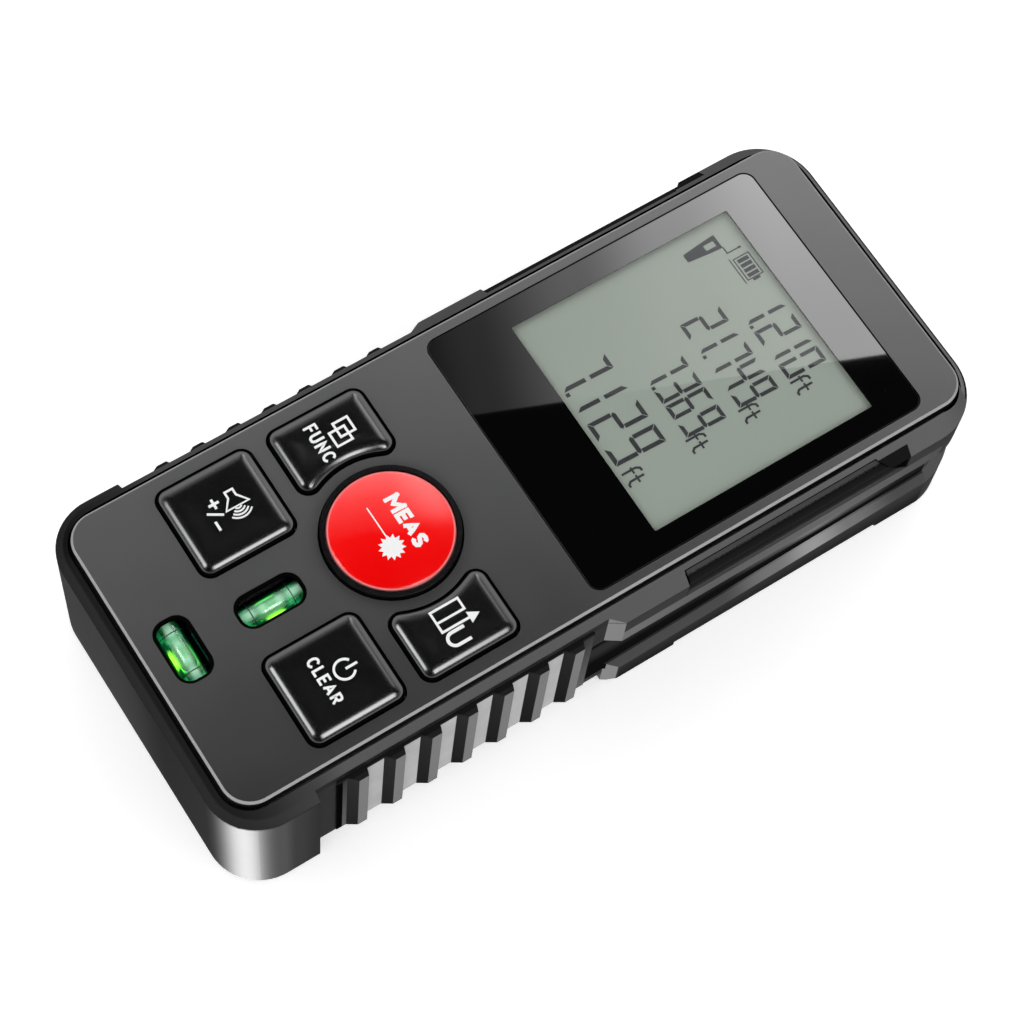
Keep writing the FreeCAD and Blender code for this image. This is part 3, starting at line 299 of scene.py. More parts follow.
def rim_material():
    """Upper casing: satin slope with painted light: a painted sheen lighter toward the +Y end, a painted highlight band
    on the slope, painted highlight and shade stripes at the laser end, and painted shade in the joint beside the face
    plate, on flat tops, undersides, toward the -Y end and round the slot.
    """
    n = N("casing_rim", Specular_IOR_Level=0.5)
    x, y, z = n.xyz()
    nz = n.nz()
    fine = n.noise(4200, 2, 0.6)
    big = n.noise(70, 4)
    # tone lightens toward the +Y end: painted sheen
    tone = n.ramp(n.math("ADD", n.math("MULTIPLY", y, 1 / 0.112), n.math("ADD", 0.5, n.remap(big, -0.04, 0.04))),
                  [(0.0, (0.006, 0.006, 0.0065)), (0.16, (0.010, 0.010, 0.0105)), (0.5, (0.018, 0.018, 0.0185)), (1.0, (0.040, 0.040, 0.041))])
    ax, ay = n.math("ABSOLUTE", x), n.math("ABSOLUTE", y)
    # joint walls beside the face plate: painted shade, near black
    joint = n.math("MULTIPLY", n.math("LESS_THAN", ax, 21.95 * MM), n.math("LESS_THAN", ay, 54.35 * MM))
    joint = n.math("MULTIPLY", joint, n.math("LESS_THAN", nz, 0.3))
    # slope facets: painted highlight band, stronger toward the +Y end
    edge = n.ramp(nz, [(0.05, (0, 0, 0)), (0.30, (1, 1, 1)), (0.62, (1, 1, 1)), (0.80, (0, 0, 0))])
    near_ = n.ramp(n.math("MULTIPLY", n.math("ADD", y, 56 * MM), 1 / (20 * MM)), [(0.0, (0, 0, 0)), (0.55, (0.08, 0.08, 0.08)), (0.85, (1, 1, 1))], "EASE")
    c = n.mix(n.math("MULTIPLY", n.math("MULTIPLY", edge, near_), 0.45), tone, (0.17, 0.17, 0.17))
    # laser end: painted stripes, black shade, a grey painted highlight band, black shade
    laser_ = n.math("GREATER_THAN", y, 53.9 * MM)
    c = n.mix(laser_, c, n.ramp(n.math("ADD", n.math("MULTIPLY", n.math("SUBTRACT", z, 21.4 * MM), 1 / (2.0 * MM)), n.remap(fine, -0.02, 0.02)),
                                [(0.0, (0.002, 0.002, 0.002)), (0.21, (0.003, 0.003, 0.003)), (0.27, (0.11, 0.11, 0.11)),
                                 (0.52, (0.15, 0.15, 0.15)), (0.58, (0.002, 0.002, 0.002)), (1.0, (0.0015, 0.0015, 0.0015))]))
    # toward the -Y end the slope is painted darker: painted shade
    keys_ = n.math("MULTIPLY", n.ramp(n.math("MULTIPLY", n.math("ADD", y, 56 * MM), 1 / (14 * MM)), [(0.05, (1, 1, 1)), (1.0, (0, 0, 0))], "EASE"),
                   n.math("GREATER_THAN", nz, 0.3))
    c = n.mix(keys_, c, n.ramp(n.math("ADD", n.math("MULTIPLY", n.math("SUBTRACT", z, 21.4 * MM), 1 / (2.0 * MM)), n.remap(fine, -0.02, 0.02)),
                               [(0.0, (0.010, 0.010, 0.0105)), (0.5, (0.013, 0.013, 0.0135)), (0.62, (0.0015, 0.0015, 0.0015))]))
    # flat tops: painted shade, near black
    top_ = n.math("MULTIPLY", n.math("GREATER_THAN", nz, 0.93), n.math("MAXIMUM", n.math("GREATER_THAN", z, 23.7 * MM), n.math("GREATER_THAN", y, 50 * MM)))
    c = n.mix(top_, c, (0.0015, 0.0015, 0.0015))
    # undersides: painted shade, near black
    under = n.math("MULTIPLY", n.math("LESS_THAN", nz, -0.3), n.math("GREATER_THAN", ax, 21.5 * MM))
    c = n.mix(under, c, (0.0012, 0.0012, 0.0012))
    c = n.mix(joint, c, (0.0012, 0.0012, 0.0012))
    # round the slot: painted shade
    slot = n.math("MULTIPLY", n.math("MULTIPLY", n.math("GREATER_THAN", y, 8.95 * MM), n.math("LESS_THAN", y, 43.15 * MM)),
                  n.math("MULTIPLY", n.math("GREATER_THAN", ax, 22.06 * MM), n.math("LESS_THAN", z, 22.9 * MM)))
    c = n.mix(slot, c, (0.008, 0.008, 0.008))
    matt = n.math("MAXIMUM", n.math("MAXIMUM", joint, slot), n.math("MAXIMUM", top_, under))
    r_ = n.math("ADD", n.remap(big, 0.30, 0.36), n.remap(fine, -0.02, 0.02))
    r_ = n.math("ADD", r_, n.math("MULTIPLY", matt, 0.55))
    line_ = n.math("MULTIPLY", laser_, n.math("MAXIMUM", n.math("GREATER_THAN", z, 22.52 * MM), n.math("LESS_THAN", z, 21.88 * MM)))
    n.link(n.math("MULTIPLY", n.math("SUBTRACT", 1.0, n.math("MAXIMUM", n.math("MAXIMUM", matt, line_), n.math("MULTIPLY", keys_, 0.8))), 0.5), n.p.inputs["Specular IOR Level"])
    return n.done(c, r_, n.bump(fine, 0.00001, 0.6))


M["rim"] = rim_material()
M["door"] = moulded("door_satin", (0.026, 0.026, 0.027), 0.40, grain=4200, depth=0.000012)


def grip_material():
    """Ribbed grip: light-grey channels and mid-grey rib outer faces; painted shade on the rib flanks, darker towards
    the bottom, on the rib heads and in the step by the end block, and a painted gradient on the end strips, lighter low
    down.
    """
    n = N("grip_tones_painted_shade", IOR=1.02)
    x, y, z = n.xyz()
    ax = n.math("ABSOLUTE", x)
    fine = n.noise(5200, 2, 0.6)
    big = n.noise(110, 4)
    floor_ = n.math("MULTIPLY", n.math("LESS_THAN", ax, 23.235 * MM),
                    n.math("MULTIPLY", n.math("GREATER_THAN", y, -38.9 * MM), n.math("LESS_THAN", y, -7.8 * MM)))
    ends = n.math("SUBTRACT", n.math("LESS_THAN", ax, 23.235 * MM), floor_)
    crest = n.math("GREATER_THAN", ax, 24.165 * MM)
    up_ = n.math("MULTIPLY", n.math("GREATER_THAN", z, 20.6 * MM), n.math("LESS_THAN", ax, 24.165 * MM))
    # rib flanks: painted shade, darker towards the bottom
    dark = n.ramp(n.math("MULTIPLY", z, 1 / (22 * MM)), [(0.2, (0.003, 0.003, 0.0032)), (0.95, (0.016, 0.016, 0.017))])
    dark = n.mix(0.25, dark, n.ramp(fine, [(0.3, (0.004, 0.004, 0.004)), (0.7, (0.02, 0.02, 0.02))]))
    light = n.ramp(big, [(0.25, (0.33, 0.33, 0.33)), (0.75, (0.43, 0.43, 0.43))])
    mid = n.ramp(fine, [(0.3, (0.13, 0.13, 0.13)), (0.7, (0.17, 0.17, 0.17))])
    c = n.mix(floor_, dark, light)
    # end strips: painted gradient, lighter towards the bottom; beyond y = -40.6 mm painted shade in the step
    c = n.mix(ends, c, n.ramp(n.math("MULTIPLY", z, 1 / (22 * MM)), [(0.15, (0.10, 0.10, 0.10)), (0.95, (0.035, 0.035, 0.035))]))
    c = n.mix(n.math("MULTIPLY", ends, n.math("LESS_THAN", y, -40.6 * MM)), c, (0.0015, 0.0015, 0.0015))
    c = n.mix(crest, c, mid)
    # rib heads near the rim: painted shade
    c = n.mix(up_, c, (0.012, 0.012, 0.012))
    r = n.math("ADD", n.remap(fine, 0.42, 0.52), n.math("MULTIPLY", floor_, -0.12))
    return n.done(c, r, n.bump(fine, 0.000014, 0.6))


M["grip_rubber"] = grip_material()


def inlay_material():
    """Soft strip let into the slot: near-black, with painted shade at its very bottom, a thin painted highlight line
    just above it, a slightly lighter middle and a lighter painted highlight band along its top edge.
    """
    n = N("slot_inlay", IOR=1.04)
    x, y, z = n.xyz()
    fine = n.noise(3600, 2, 0.6)
    c = n.ramp(n.math("ADD", n.math("MULTIPLY", n.math("SUBTRACT", z, 18.6 * MM), 1 / (4.1 * MM)), n.remap(fine, -0.02, 0.02)),
               [(0.0, (0.003, 0.003, 0.003)), (0.05, (0.020, 0.020, 0.020)), (0.35, (0.008, 0.008, 0.008)),
                (0.60, (0.014, 0.014, 0.014)), (0.86, (0.006, 0.006, 0.006)), (0.91, (0.05, 0.05, 0.05)), (1.0, (0.05, 0.05, 0.05))])
    return n.done(c, n.remap(fine, 0.38, 0.46), n.bump(fine, 0.00002, 0.6))


M["inlay"] = inlay_material()


def plate_material():
    """Face plate: dark satin paint with a very fine metallic fleck; a painted sheen lighter toward the +Y end and
    toward the -X side, a painted highlight on the outer chamfer and painted shade on the side walls.
    """
    n = N("plate_paint", Specular_IOR_Level=0.5)
    x, y, z = n.xyz()
    nz = n.nz()
    big = n.noise(45, 3)
    fine = n.noise(7000, 2, 0.55)
    fleck = n.voronoi(9000)
    # tone lightens toward the +Y end: painted sheen
    tone = n.ramp(n.math("ADD", n.math("MULTIPLY", y, 1 / 0.112), n.math("ADD", 0.5, n.remap(big, -0.03, 0.03))),
                  [(0.0, (0.026, 0.026, 0.027)), (0.45, (0.036, 0.036, 0.037)), (0.72, (0.062, 0.062, 0.063)),
                   (1.0, (0.105, 0.105, 0.106))])
    # lighter toward the -X side: painted light
    left_light_ = n.math("MAXIMUM", n.math("ADD", n.math("MULTIPLY", x, -1.45), 0.029), 0.0)
    tone = n.mix(1.0, tone, n.ramp(n.math("MULTIPLY", left_light_, 10.0), [(0.0, (0, 0, 0)), (1.0, (0.1, 0.1, 0.1))]), "ADD")
    c = n.mix(n.remap(fleck, 0.25, 0.0, 0.0, 0.35), tone, n.mix(1.0, tone, (0.03, 0.03, 0.031), "ADD"))
    # outer chamfer: painted highlight, with a little lower roughness
    cham = n.math("MULTIPLY", n.math("MULTIPLY", n.math("LESS_THAN", nz, 0.955), n.math("GREATER_THAN", nz, 0.25)),
                  n.math("GREATER_THAN", z, 23.5 * MM))
    c = n.mix(cham, c, n.ramp(fine, [(0.3, (0.24, 0.24, 0.24)), (0.7, (0.32, 0.32, 0.32))]))
    # side walls: painted shade, near black
    wall = n.math("LESS_THAN", nz, 0.25)
    c = n.mix(wall, c, (0.002, 0.002, 0.002))
    r = n.math("ADD", n.remap(n.noise(120, 4), 0.30, 0.36), n.remap(fine, -0.02, 0.02))
    r = n.math("SUBTRACT", r, n.math("MULTIPLY", cham, 0.10))
    return n.done(c, r, n.bump(fine, 0.000006, 0.5))


M["plate"] = plate_material()
def mask_material(name="mask_ink", ior=2.3):
    """Black ink behind the display lens: mirror-smooth, with the faintest orange peel in its gloss."""
    n = N(name, IOR=ior)
    s_ = n.noise(30, 2)
    return n.done(n.ramp(s_, [(0.2, (0.0016, 0.0016, 0.0018)), (0.8, (0.0026, 0.0026, 0.0028))]), n.remap(s_, 0.012, 0.018))


M["mask"] = mask_material()
M["gasket"] = moulded("gasket_foam", (0.010, 0.010, 0.010), 0.85, grain=9000, depth=0.00003)
M["inner_plastic"] = moulded("frame_black", (0.012, 0.012, 0.012), 0.5)
M["zebra"] = moulded("zebra_rubber", (0.35, 0.35, 0.38), 0.6, grain=8000)
M["light_guide"] = gloss("light_guide", (0.82, 0.84, 0.82), 0.2)


def pcb_material():
    n = N("solder_mask")
    tr = n.new("ShaderNodeTexBrick")
    tr.inputs["Scale"].default_value = 420
    tr.inputs["Color1"].default_value = (0.010, 0.075, 0.028, 1)
    tr.inputs["Color2"].default_value = (0.012, 0.085, 0.032, 1)
    tr.inputs["Mortar"].default_value = (0.03, 0.16, 0.07, 1)
    tr.inputs["Mortar Size"].default_value = 0.05
    n.link(n.co, tr.inputs["Vector"])
    return n.done(tr.outputs["Color"], n.remap(n.noise(300, 3), 0.28, 0.42), n.bump(tr.outputs["Fac"], 0.00002, 0.4))


M["pcb"] = pcb_material()
M["chip"] = moulded("chip_epoxy", (0.013, 0.013, 0.014), 0.55, grain=8000)
M["switch"] = metal("switch_steel", (0.55, 0.55, 0.57), 0.32)
M["key_mat"] = moulded("silicone_mat", (0.16, 0.16, 0.17), 0.6)
M["key"] = gloss("key_gloss", (0.0030, 0.0030, 0.0033), 0.26, coat=0.85, coat_rough=0.165, Specular_IOR_Level=0.15, Coat_IOR=1.9, var=0.05, swirl=260)
M["key_skirt"] = moulded("key_skirt", (0.0016, 0.0016, 0.0017), 0.6, IOR=1.06)
M["plunger"] = moulded("plunger_red", (0.35, 0.04, 0.03), 0.45)
M["plug"] = moulded("vial_plug", (0.02, 0.10, 0.03), 0.5)


def seat_material():
    """Black moulding with a dark green, light-gathering finish in the two vial beds."""
    n = N("vial_seat_black")
    x, y, z = n.xyz()
    dz = n.math("SUBTRACT", z, 21.95 * MM)
    dy = n.math("SUBTRACT", y, -48.9 * MM)
    zz = n.math("MULTIPLY", dz, dz)
    dl = n.math("POWER", n.math("ADD", n.math("MULTIPLY", x, x), zz), 0.5)
    dc = n.math("POWER", n.math("ADD", n.math("MULTIPLY", dy, dy), zz), 0.5)
    bed = n.math("LESS_THAN", n.math("MINIMUM", dl, dc), 2.16 * MM)
    fine = n.noise(5200, 2, 0.6)
    c = n.mix(bed, n.ramp(fine, [(0.3, (0.002, 0.002, 0.002)), (0.7, (0.004, 0.004, 0.004))]),
              n.ramp(fine, [(0.3, (0.0, 0.16, 0.07)), (0.7, (0.01, 0.24, 0.11))]))
    return n.done(c, n.remap(fine, 0.32, 0.4), n.bump(fine, 0.000008, 0.5))


M["vial_seat"] = seat_material()
M["chassis"] = metal("chassis_cast", (0.42, 0.42, 0.44), 0.5, scale=1500, depth=0.00002)
M["barrel"] = metal("barrel_brass", (0.62, 0.44, 0.18), 0.25, stretch=(1, 0.05, 1))
M["gold_can"] = metal("gold_plate", (0.75, 0.55, 0.22), 0.2)
M["sensor_can"] = metal("nickel_can", (0.6, 0.6, 0.58), 0.2)
M["contact"] = metal("nickel_contact", (0.6, 0.6, 0.57), 0.24)
M["buzzer"] = moulded("buzzer_black", (0.012, 0.012, 0.012), 0.5)
M["foam"] = moulded("foam_pad", (0.03, 0.03, 0.032), 0.9, grain=2600, depth=0.00008)
M["screw"] = metal("screw_black_oxide", (0.10, 0.10, 0.105), 0.34, scale=2500)


def cell_material():
    n = N("cell_sleeve", Metallic=0.0)
    x, y, z = n.xyz()
    band = n.ramp(n.math("MULTIPLY", n.math("ADD", y, 0.046), 1 / 0.0455),
                  [(0.0, (0.55, 0.55, 0.56)), (0.03, (0.02, 0.025, 0.03)), (0.74, (0.02, 0.025, 0.03)),
                   (0.75, (0.34, 0.20, 0.05)), (0.965, (0.34, 0.20, 0.05)), (0.97, (0.6, 0.6, 0.6))], "CONSTANT")
    s = n.noise(400, 4)
    return n.done(n.mix(0.15, band, n.ramp(s, [(0.3, (0.02, 0.02, 0.02)), (0.7, (0.3, 0.3, 0.3))])), n.remap(s, 0.22, 0.34))


M["cell"] = cell_material()


def label_material():
    """Blank silver rating label: brushed foil with a thin printed frame."""
    n = N("label_foil", Metallic=0.35)
    x, y, z = n.xyz()
    ax = n.math("ABSOLUTE", x)
    ay = n.math("ABSOLUTE", n.math("SUBTRACT", y, 25.0 * MM))
    dx = n.math("ABSOLUTE", n.math("SUBTRACT", ax, 11.9 * MM))
    dy = n.math("ABSOLUTE", n.math("SUBTRACT", ay, 13.9 * MM))
    inx = n.math("MULTIPLY", n.math("LESS_THAN", dx, 0.12 * MM), n.math("LESS_THAN", ay, 14.0 * MM))
    iny = n.math("MULTIPLY", n.math("LESS_THAN", dy, 0.12 * MM), n.math("LESS_THAN", ax, 12.0 * MM))
    line = n.math("MAXIMUM", inx, iny)
    brush = n.noise(2600, 3, 0.6, stretch=(0.03, 1, 1))
    c = n.ramp(brush, [(0.3, (0.40, 0.41, 0.42)), (0.7, (0.52, 0.53, 0.54))])
    c = n.mix(line, c, (0.03, 0.03, 0.03))
    return n.done(c, n.remap(brush, 0.30, 0.42), n.bump(brush, 0.000004, 0.5))


M["label"] = label_material()


def red_material():
    """Glossy red cap under a clear coat: a painted highlight lightens the red toward the -X, +Y side, and a pink
    painted highlight lies on the rolled rim.
    """
    n = N("cap_red", Coat_Weight=0.4, Coat_Roughness=0.12)
    lw = n.new("ShaderNodeLayerWeight")
    lw.inputs["Blend"].default_value = 0.35
    b = n.noise(140, 3)
    x, y, z = n.xyz()
    # painted highlight: the red lightens toward -X, +Y
    t = n.math("ADD", n.math("MULTIPLY", x, -0.90), n.math("MULTIPLY", n.math("SUBTRACT", y, -19.6 * MM), 0.43))
    base = n.ramp(n.math("ADD", n.math("MULTIPLY", t, 1 / (17 * MM)), n.remap(b, 0.44, 0.56)),
                  [(0.05, (0.80, 0.0008, 0.0010)), (0.45, (0.90, 0.004, 0.004)), (0.75, (1.0, 0.045, 0.045)),
                   (1.0, (1.0, 0.12, 0.12))])
    nz = n.nz()
    # rolled rim: pink painted highlight
    ring = n.ramp(nz, [(0.30, (0, 0, 0)), (0.55, (1, 1, 1)), (0.84, (1, 1, 1)), (0.95, (0, 0, 0))])
    base = n.mix(n.math("MULTIPLY", ring, 0.75), base, (1.0, 0.34, 0.34))
    s = n.noise(1400, 4, 0.7)
    return n.done(base, n.remap(s, 0.17, 0.23), n.bump(s, 0.000002, 0.25))


M["red_key"] = red_material()


def glass(name, tint, rough=0.02, ior=1.49):
    """Clear part with real refraction; a trace of haze in the polish."""
    n = N(name, Transmission_Weight=1.0, IOR=ior)
    s = n.noise(700, 4, 0.7)
    return n.done(n.ramp(s, [(0.3, shade(tint, 0.97)), (0.7, tint)]), n.remap(s, rough, rough + 0.03), None)


M["optic"] = glass("optic_coated", (0.80, 0.86, 1.0), 0.01, 1.6)


def clear_film(name, tint, through, gain=1.0, rough=0.03, ior=1.5):
    """Flat clear sheet: what is behind shows straight through, and the surface keeps its Fresnel gloss."""
    n = N(name)
    n.t.nodes.remove(n.p)
    tr = n.new("ShaderNodeBsdfTransparent")
    tr.inputs["Color"].default_value = (*through, 1)
    gl = n.new("ShaderNodeBsdfGlossy")
    gl.inputs["Color"].default_value = (*tint, 1)
    s = n.noise(60, 3)
    n.link(n.remap(s, rough, rough * 1.5 + 0.004), gl.inputs["Roughness"])
    f0 = ((ior - 1) / (ior + 1)) ** 2
    lw = n.new("ShaderNodeLayerWeight")
    lw.inputs["Blend"].default_value = 0.5
    back = n.new("ShaderNodeNewGeometry").outputs["Backfacing"]
    fac = n.math("ADD", f0, n.math("MULTIPLY", 1 - f0, n.math("POWER", lw.outputs["Facing"], 5.0)))
    fac = n.math("MULTIPLY", n.math("MULTIPLY", fac, gain, clamp=True), n.math("SUBTRACT", 1.0, back))
    mx = n.new("ShaderNodeMixShader")
    n.link(fac, mx.inputs[0])
    n.link(tr.outputs[0], mx.inputs[1])
    n.link(gl.outputs[0], mx.inputs[2])
    n.link(mx.outputs[0], n.out.inputs["Surface"])
    return n.m


M["lens"] = clear_film("lens_clear", (1, 1, 1), (0.97, 0.98, 0.98), gain=1.0, rough=0.003)
M["window"] = clear_film("window_smoked", (0.9, 0.9, 1.0), (0.10, 0.075, 0.09), gain=1.2)


def lcd_material():
    """Reflective display: grey-green field with the faint pixel-free bloom of a polariser."""
    n = N("lcd_field", Specular_IOR_Level=0.25)
    x, y, z = n.xyz()
    big = n.noise(38, 3)
    fine = n.noise(6500, 2, 0.5)
    c = n.ramp(n.math("ADD", n.math("MULTIPLY", big, 0.8), n.math("MULTIPLY", fine, 0.2)),
               [(0.2, (0.285, 0.320, 0.275)), (0.8, (0.305, 0.340, 0.295))])
    return n.done(c, n.remap(fine, 0.42, 0.5), n.bump(fine, 0.000002, 0.3))


M["lcd"] = lcd_material()
M["segment"] = moulded("lcd_segment", (0.016, 0.016, 0.021), 0.5, grain=7000, depth=0.000001, var=0.15)
M["print"] = moulded("legend_white", (0.84, 0.84, 0.84), 0.45, grain=6000, depth=0.000002, var=0.04, rvar=0.04)
M["readline"] = moulded("read_line_green", (0.004, 0.03, 0.014), 0.4)
M["bezel"] = gloss("vial_bezel_black", (0.0012, 0.0012, 0.0012), 0.5, swirl=1400, IOR=1.06)


def vial_tube_material(axis):
    """Green-tinted clear tube: see-through film with a share of diffuse green tint in the wall and a polished surface;
    a pale painted highlight band along the top and painted shade on the wall turned away.
    """
    m = clear_film("vial_tube_green", (1, 1, 1), (0.80, 1.0, 0.84), gain=1.3, rough=0.05, ior=1.6)
    t = m.node_tree
    out = t.nodes["Material Output"]
    old = out.inputs["Surface"].links[0].from_socket
    df = t.nodes.new("ShaderNodeBsdfDiffuse")
    ns = t.nodes.new("ShaderNodeTexNoise")
    ns.inputs["Scale"].default_value = 420
    cr = t.nodes.new("ShaderNodeValToRGB")
    cr.color_ramp.elements[0].position, cr.color_ramp.elements[0].color = 0.35, (0.01, 0.22, 0.10, 1)
    cr.color_ramp.elements[1].position, cr.color_ramp.elements[1].color = 0.65, (0.04, 0.42, 0.17, 1)
    t.links.new(ns.outputs["Fac"], cr.inputs["Fac"])
    t.links.new(cr.outputs["Color"], df.inputs["Color"])
    mx = t.nodes.new("ShaderNodeMixShader")
    mx.inputs[0].default_value = 0.08
    t.links.new(old, mx.inputs[1])
    t.links.new(df.outputs[0], mx.inputs[2])
    # pale painted highlight band along the top of the glass
    tc = t.nodes.new("ShaderNodeTexCoord")
    sp_ = t.nodes.new("ShaderNodeSeparateXYZ")
    t.links.new(tc.outputs["Object"], sp_.inputs[0])
    w_ = t.nodes.new("ShaderNodeMapRange")
    w_.inputs["From Min"].default_value = (0.15 - 1.15) * MM if axis == "y" else (-48.9 - 0.15 - 1.15) * MM
    w_.inputs["From Max"].default_value = (0.15 + 1.15) * MM if axis == "y" else (-48.9 - 0.15 + 1.15) * MM
    t.links.new(sp_.outputs["X" if axis == "y" else "Y"], w_.inputs["Value"])
    bd = t.nodes.new("ShaderNodeValToRGB")
    bd.color_ramp.interpolation = "EASE"
    for q in range(2):
        bd.color_ramp.elements.new(0.5)
    for q, (pos, v) in zip(bd.color_ramp.elements, ((0.12, 0.0), (0.40, 0.50), (0.58, 0.50), (0.84, 0.0))):
        q.position, q.color = pos, (v, v, v, 1)
    t.links.new(w_.outputs["Result"], bd.inputs["Fac"])
    hi = t.nodes.new("ShaderNodeMath")
    hi.operation = "GREATER_THAN"
    hi.inputs[1].default_value = 22.4 * MM
    t.links.new(sp_.outputs["Z"], hi.inputs[0])
    mu = t.nodes.new("ShaderNodeMath")
    mu.operation = "MULTIPLY"
    t.links.new(bd.outputs["Color"], mu.inputs[0])
    t.links.new(hi.outputs[0], mu.inputs[1])
    # the painted highlight band fades over the bubble and breaks up towards the plugs
    of_ = t.nodes.new("ShaderNodeMath")
    of_.operation = "SUBTRACT"
    of_.inputs[1].default_value = (-36.8 if axis == "y" else 0.0) * MM
    t.links.new(sp_.outputs["Y" if axis == "y" else "X"], of_.inputs[0])
    ab_ = t.nodes.new("ShaderNodeMath")
    ab_.operation = "ABSOLUTE"
    t.links.new(of_.outputs[0], ab_.inputs[0])
    mr_ = t.nodes.new("ShaderNodeMapRange")
    mr_.inputs["From Max"].default_value = 4.6 * MM
    t.links.new(ab_.outputs[0], mr_.inputs["Value"])
    n2_ = t.nodes.new("ShaderNodeTexNoise")
    n2_.inputs["Scale"].default_value = 650
    sum_ = t.nodes.new("ShaderNodeMath")
    sum_.operation = "MULTIPLY_ADD"
    sum_.inputs[1].default_value = 0.22
    t.links.new(n2_.outputs["Fac"], sum_.inputs[0])
    t.links.new(mr_.outputs["Result"], sum_.inputs[2])
    al_ = t.nodes.new("ShaderNodeValToRGB")
    al_.color_ramp.interpolation = "EASE"
    for q in range(3):
        al_.color_ramp.elements.new(0.5)
    for q, (pos, v) in zip(al_.color_ramp.elements, ((0.18, 0.42), (0.36, 0.95), (0.55, 0.55), (0.72, 1.25), (1.0, 0.9))):
        q.position, q.color = pos, (v, v, v, 1)
    t.links.new(sum_.outputs[0], al_.inputs["Fac"])
    mu2 = t.nodes.new("ShaderNodeMath")
    mu2.operation = "MULTIPLY"
    t.links.new(mu.outputs[0], mu2.inputs[0])
    t.links.new(al_.outputs["Color"], mu2.inputs[1])
    mu = mu2
    pale = t.nodes.new("ShaderNodeBsdfDiffuse")
    pale.inputs["Color"].default_value = (0.58, 0.98, 0.74, 1)
    m2 = t.nodes.new("ShaderNodeMixShader")
    t.links.new(mu.outputs[0], m2.inputs[0])
    t.links.new(mx.outputs[0], m2.inputs[1])
    t.links.new(pale.outputs[0], m2.inputs[2])
    # painted shade: the wall turned away from the keys, in the dark of the opening, is painted near black
    dk_ = t.nodes.new("ShaderNodeMapRange")
    c0_ = 0.0 if axis == "y" else -48.9 * MM
    k_ = -1 if axis == "y" else 1
    dk_.inputs["From Min"].default_value, dk_.inputs["From Max"].default_value = c0_ + k_ * 0.85 * MM, c0_ + k_ * 1.35 * MM
    t.links.new(sp_.outputs["X" if axis == "y" else "Y"], dk_.inputs["Value"])
    bk_ = t.nodes.new("ShaderNodeBsdfDiffuse")
    bk_.inputs["Color"].default_value = (0.001, 0.003, 0.002, 1)
    m3 = t.nodes.new("ShaderNodeMixShader")
    t.links.new(dk_.outputs["Result"], m3.inputs[0])
    t.links.new(m2.outputs[0], m3.inputs[1])
    t.links.new(bk_.outputs[0], m3.inputs[2])
    t.links.new(m3.outputs[0], out.inputs["Surface"])
    return m


def vial_liquid_material(axis):
    """Green level fluid lit by its own emission as painted light: bright in the middle, dark bands either side, a
    lighter band, then dark towards the plugs; a painted yellow glint on one side near the middle and painted shade on
    the side turned away.
    """
    n = N("vial_liquid_" + axis, Coat_Weight=0.5, Coat_Roughness=0.02)
    x, y, z = n.xyz()
    if axis == "y":
        t = n.math("SUBTRACT", y, -36.8 * MM)
        across = x
    else:
        t = x
        across = n.math("SUBTRACT", y, -48.9 * MM)
    at = n.math("ABSOLUTE", t)
    swirl = n.noise(420, 3, 0.6, dist=1.2)
    body = n.ramp(n.math("ADD", n.math("MULTIPLY", at, 1 / (4.6 * MM)), n.remap(swirl, -0.07, 0.07)),
                  [(0.0, (0.05, 0.62, 0.10)), (0.22, (0.03, 0.50, 0.07)), (0.33, (0.003, 0.05, 0.02)),
                   (0.52, (0.002, 0.028, 0.014)), (0.66, (0.015, 0.20, 0.08)), (0.80, (0.006, 0.09, 0.04)),
                   (0.95, (0.003, 0.04, 0.02))])
    side_ = n.ramp(n.math("MULTIPLY", across, (1 if axis == "y" else -1) / (1.5 * MM)), [(0.30, (0, 0, 0)), (0.75, (1, 1, 1))])
    near_ = n.ramp(n.math("MULTIPLY", at, 1 / (2.0 * MM)), [(0.35, (1, 1, 1)), (0.75, (0, 0, 0))])
    # painted highlight: a yellow glint on one side near the middle
    painted_glint = n.mix(n.math("MULTIPLY", side_, near_), (0, 0, 0), (0.50, 0.55, 0.0))
    # side turned away: painted shade
    away_shade_ = n.ramp(n.math("MULTIPLY", across, (-1 if axis == "y" else 1) / (1.5 * MM)), [(0.45, (0, 0, 0)), (0.85, (1, 1, 1))])
    body = n.mix(n.math("MULTIPLY", away_shade_, 0.40), body, (0.002, 0.03, 0.012))
    c = n.mix(1.0, body, painted_glint, "ADD")
    # the fluid's colour is also its emission: a glow that is painted light
    n.link(c, n.p.inputs["Emission Color"])
    n.set("Emission_Strength", 1.9)
    return n.done(c, n.remap(swirl, 0.08, 0.2))


def bubble_material():
    # pale bubble: dark green towards its grazing edges as painted shade, and a faint emission glow as painted light
    n = N("bubble_pale", Coat_Weight=1.0, Coat_Roughness=0.02)
    s = n.noise(900, 3, 0.6, dist=1.5)
    lw = n.new("ShaderNodeLayerWeight")
    lw.inputs["Blend"].default_value = 0.5
    c = n.mix(lw.outputs["Facing"], n.ramp(s, [(0.3, (0.30, 0.62, 0.34)), (0.7, (0.62, 0.85, 0.60))]), (0.01, 0.12, 0.03))
    n.link(c, n.p.inputs["Emission Color"])
    n.set("Emission_Strength", 0.25)
    return n.done(c, n.remap(s, 0.08, 0.16))


# every CAD node gets the material of its slot
for sp in frame["record"]["subparts"]:
    o = nodes[sp["node"]]
    o.data.materials.clear()
    o.data.materials.append(M.get(sp["material_slot"]) or M["inner_plastic"])
nodes["front_housing"].data.materials[0] = M["rim"]
M["bubble"] = bubble_material()
for k in ("long_bubble", "cross_bubble"):
    nodes[k].data.materials[0] = M["bubble"]


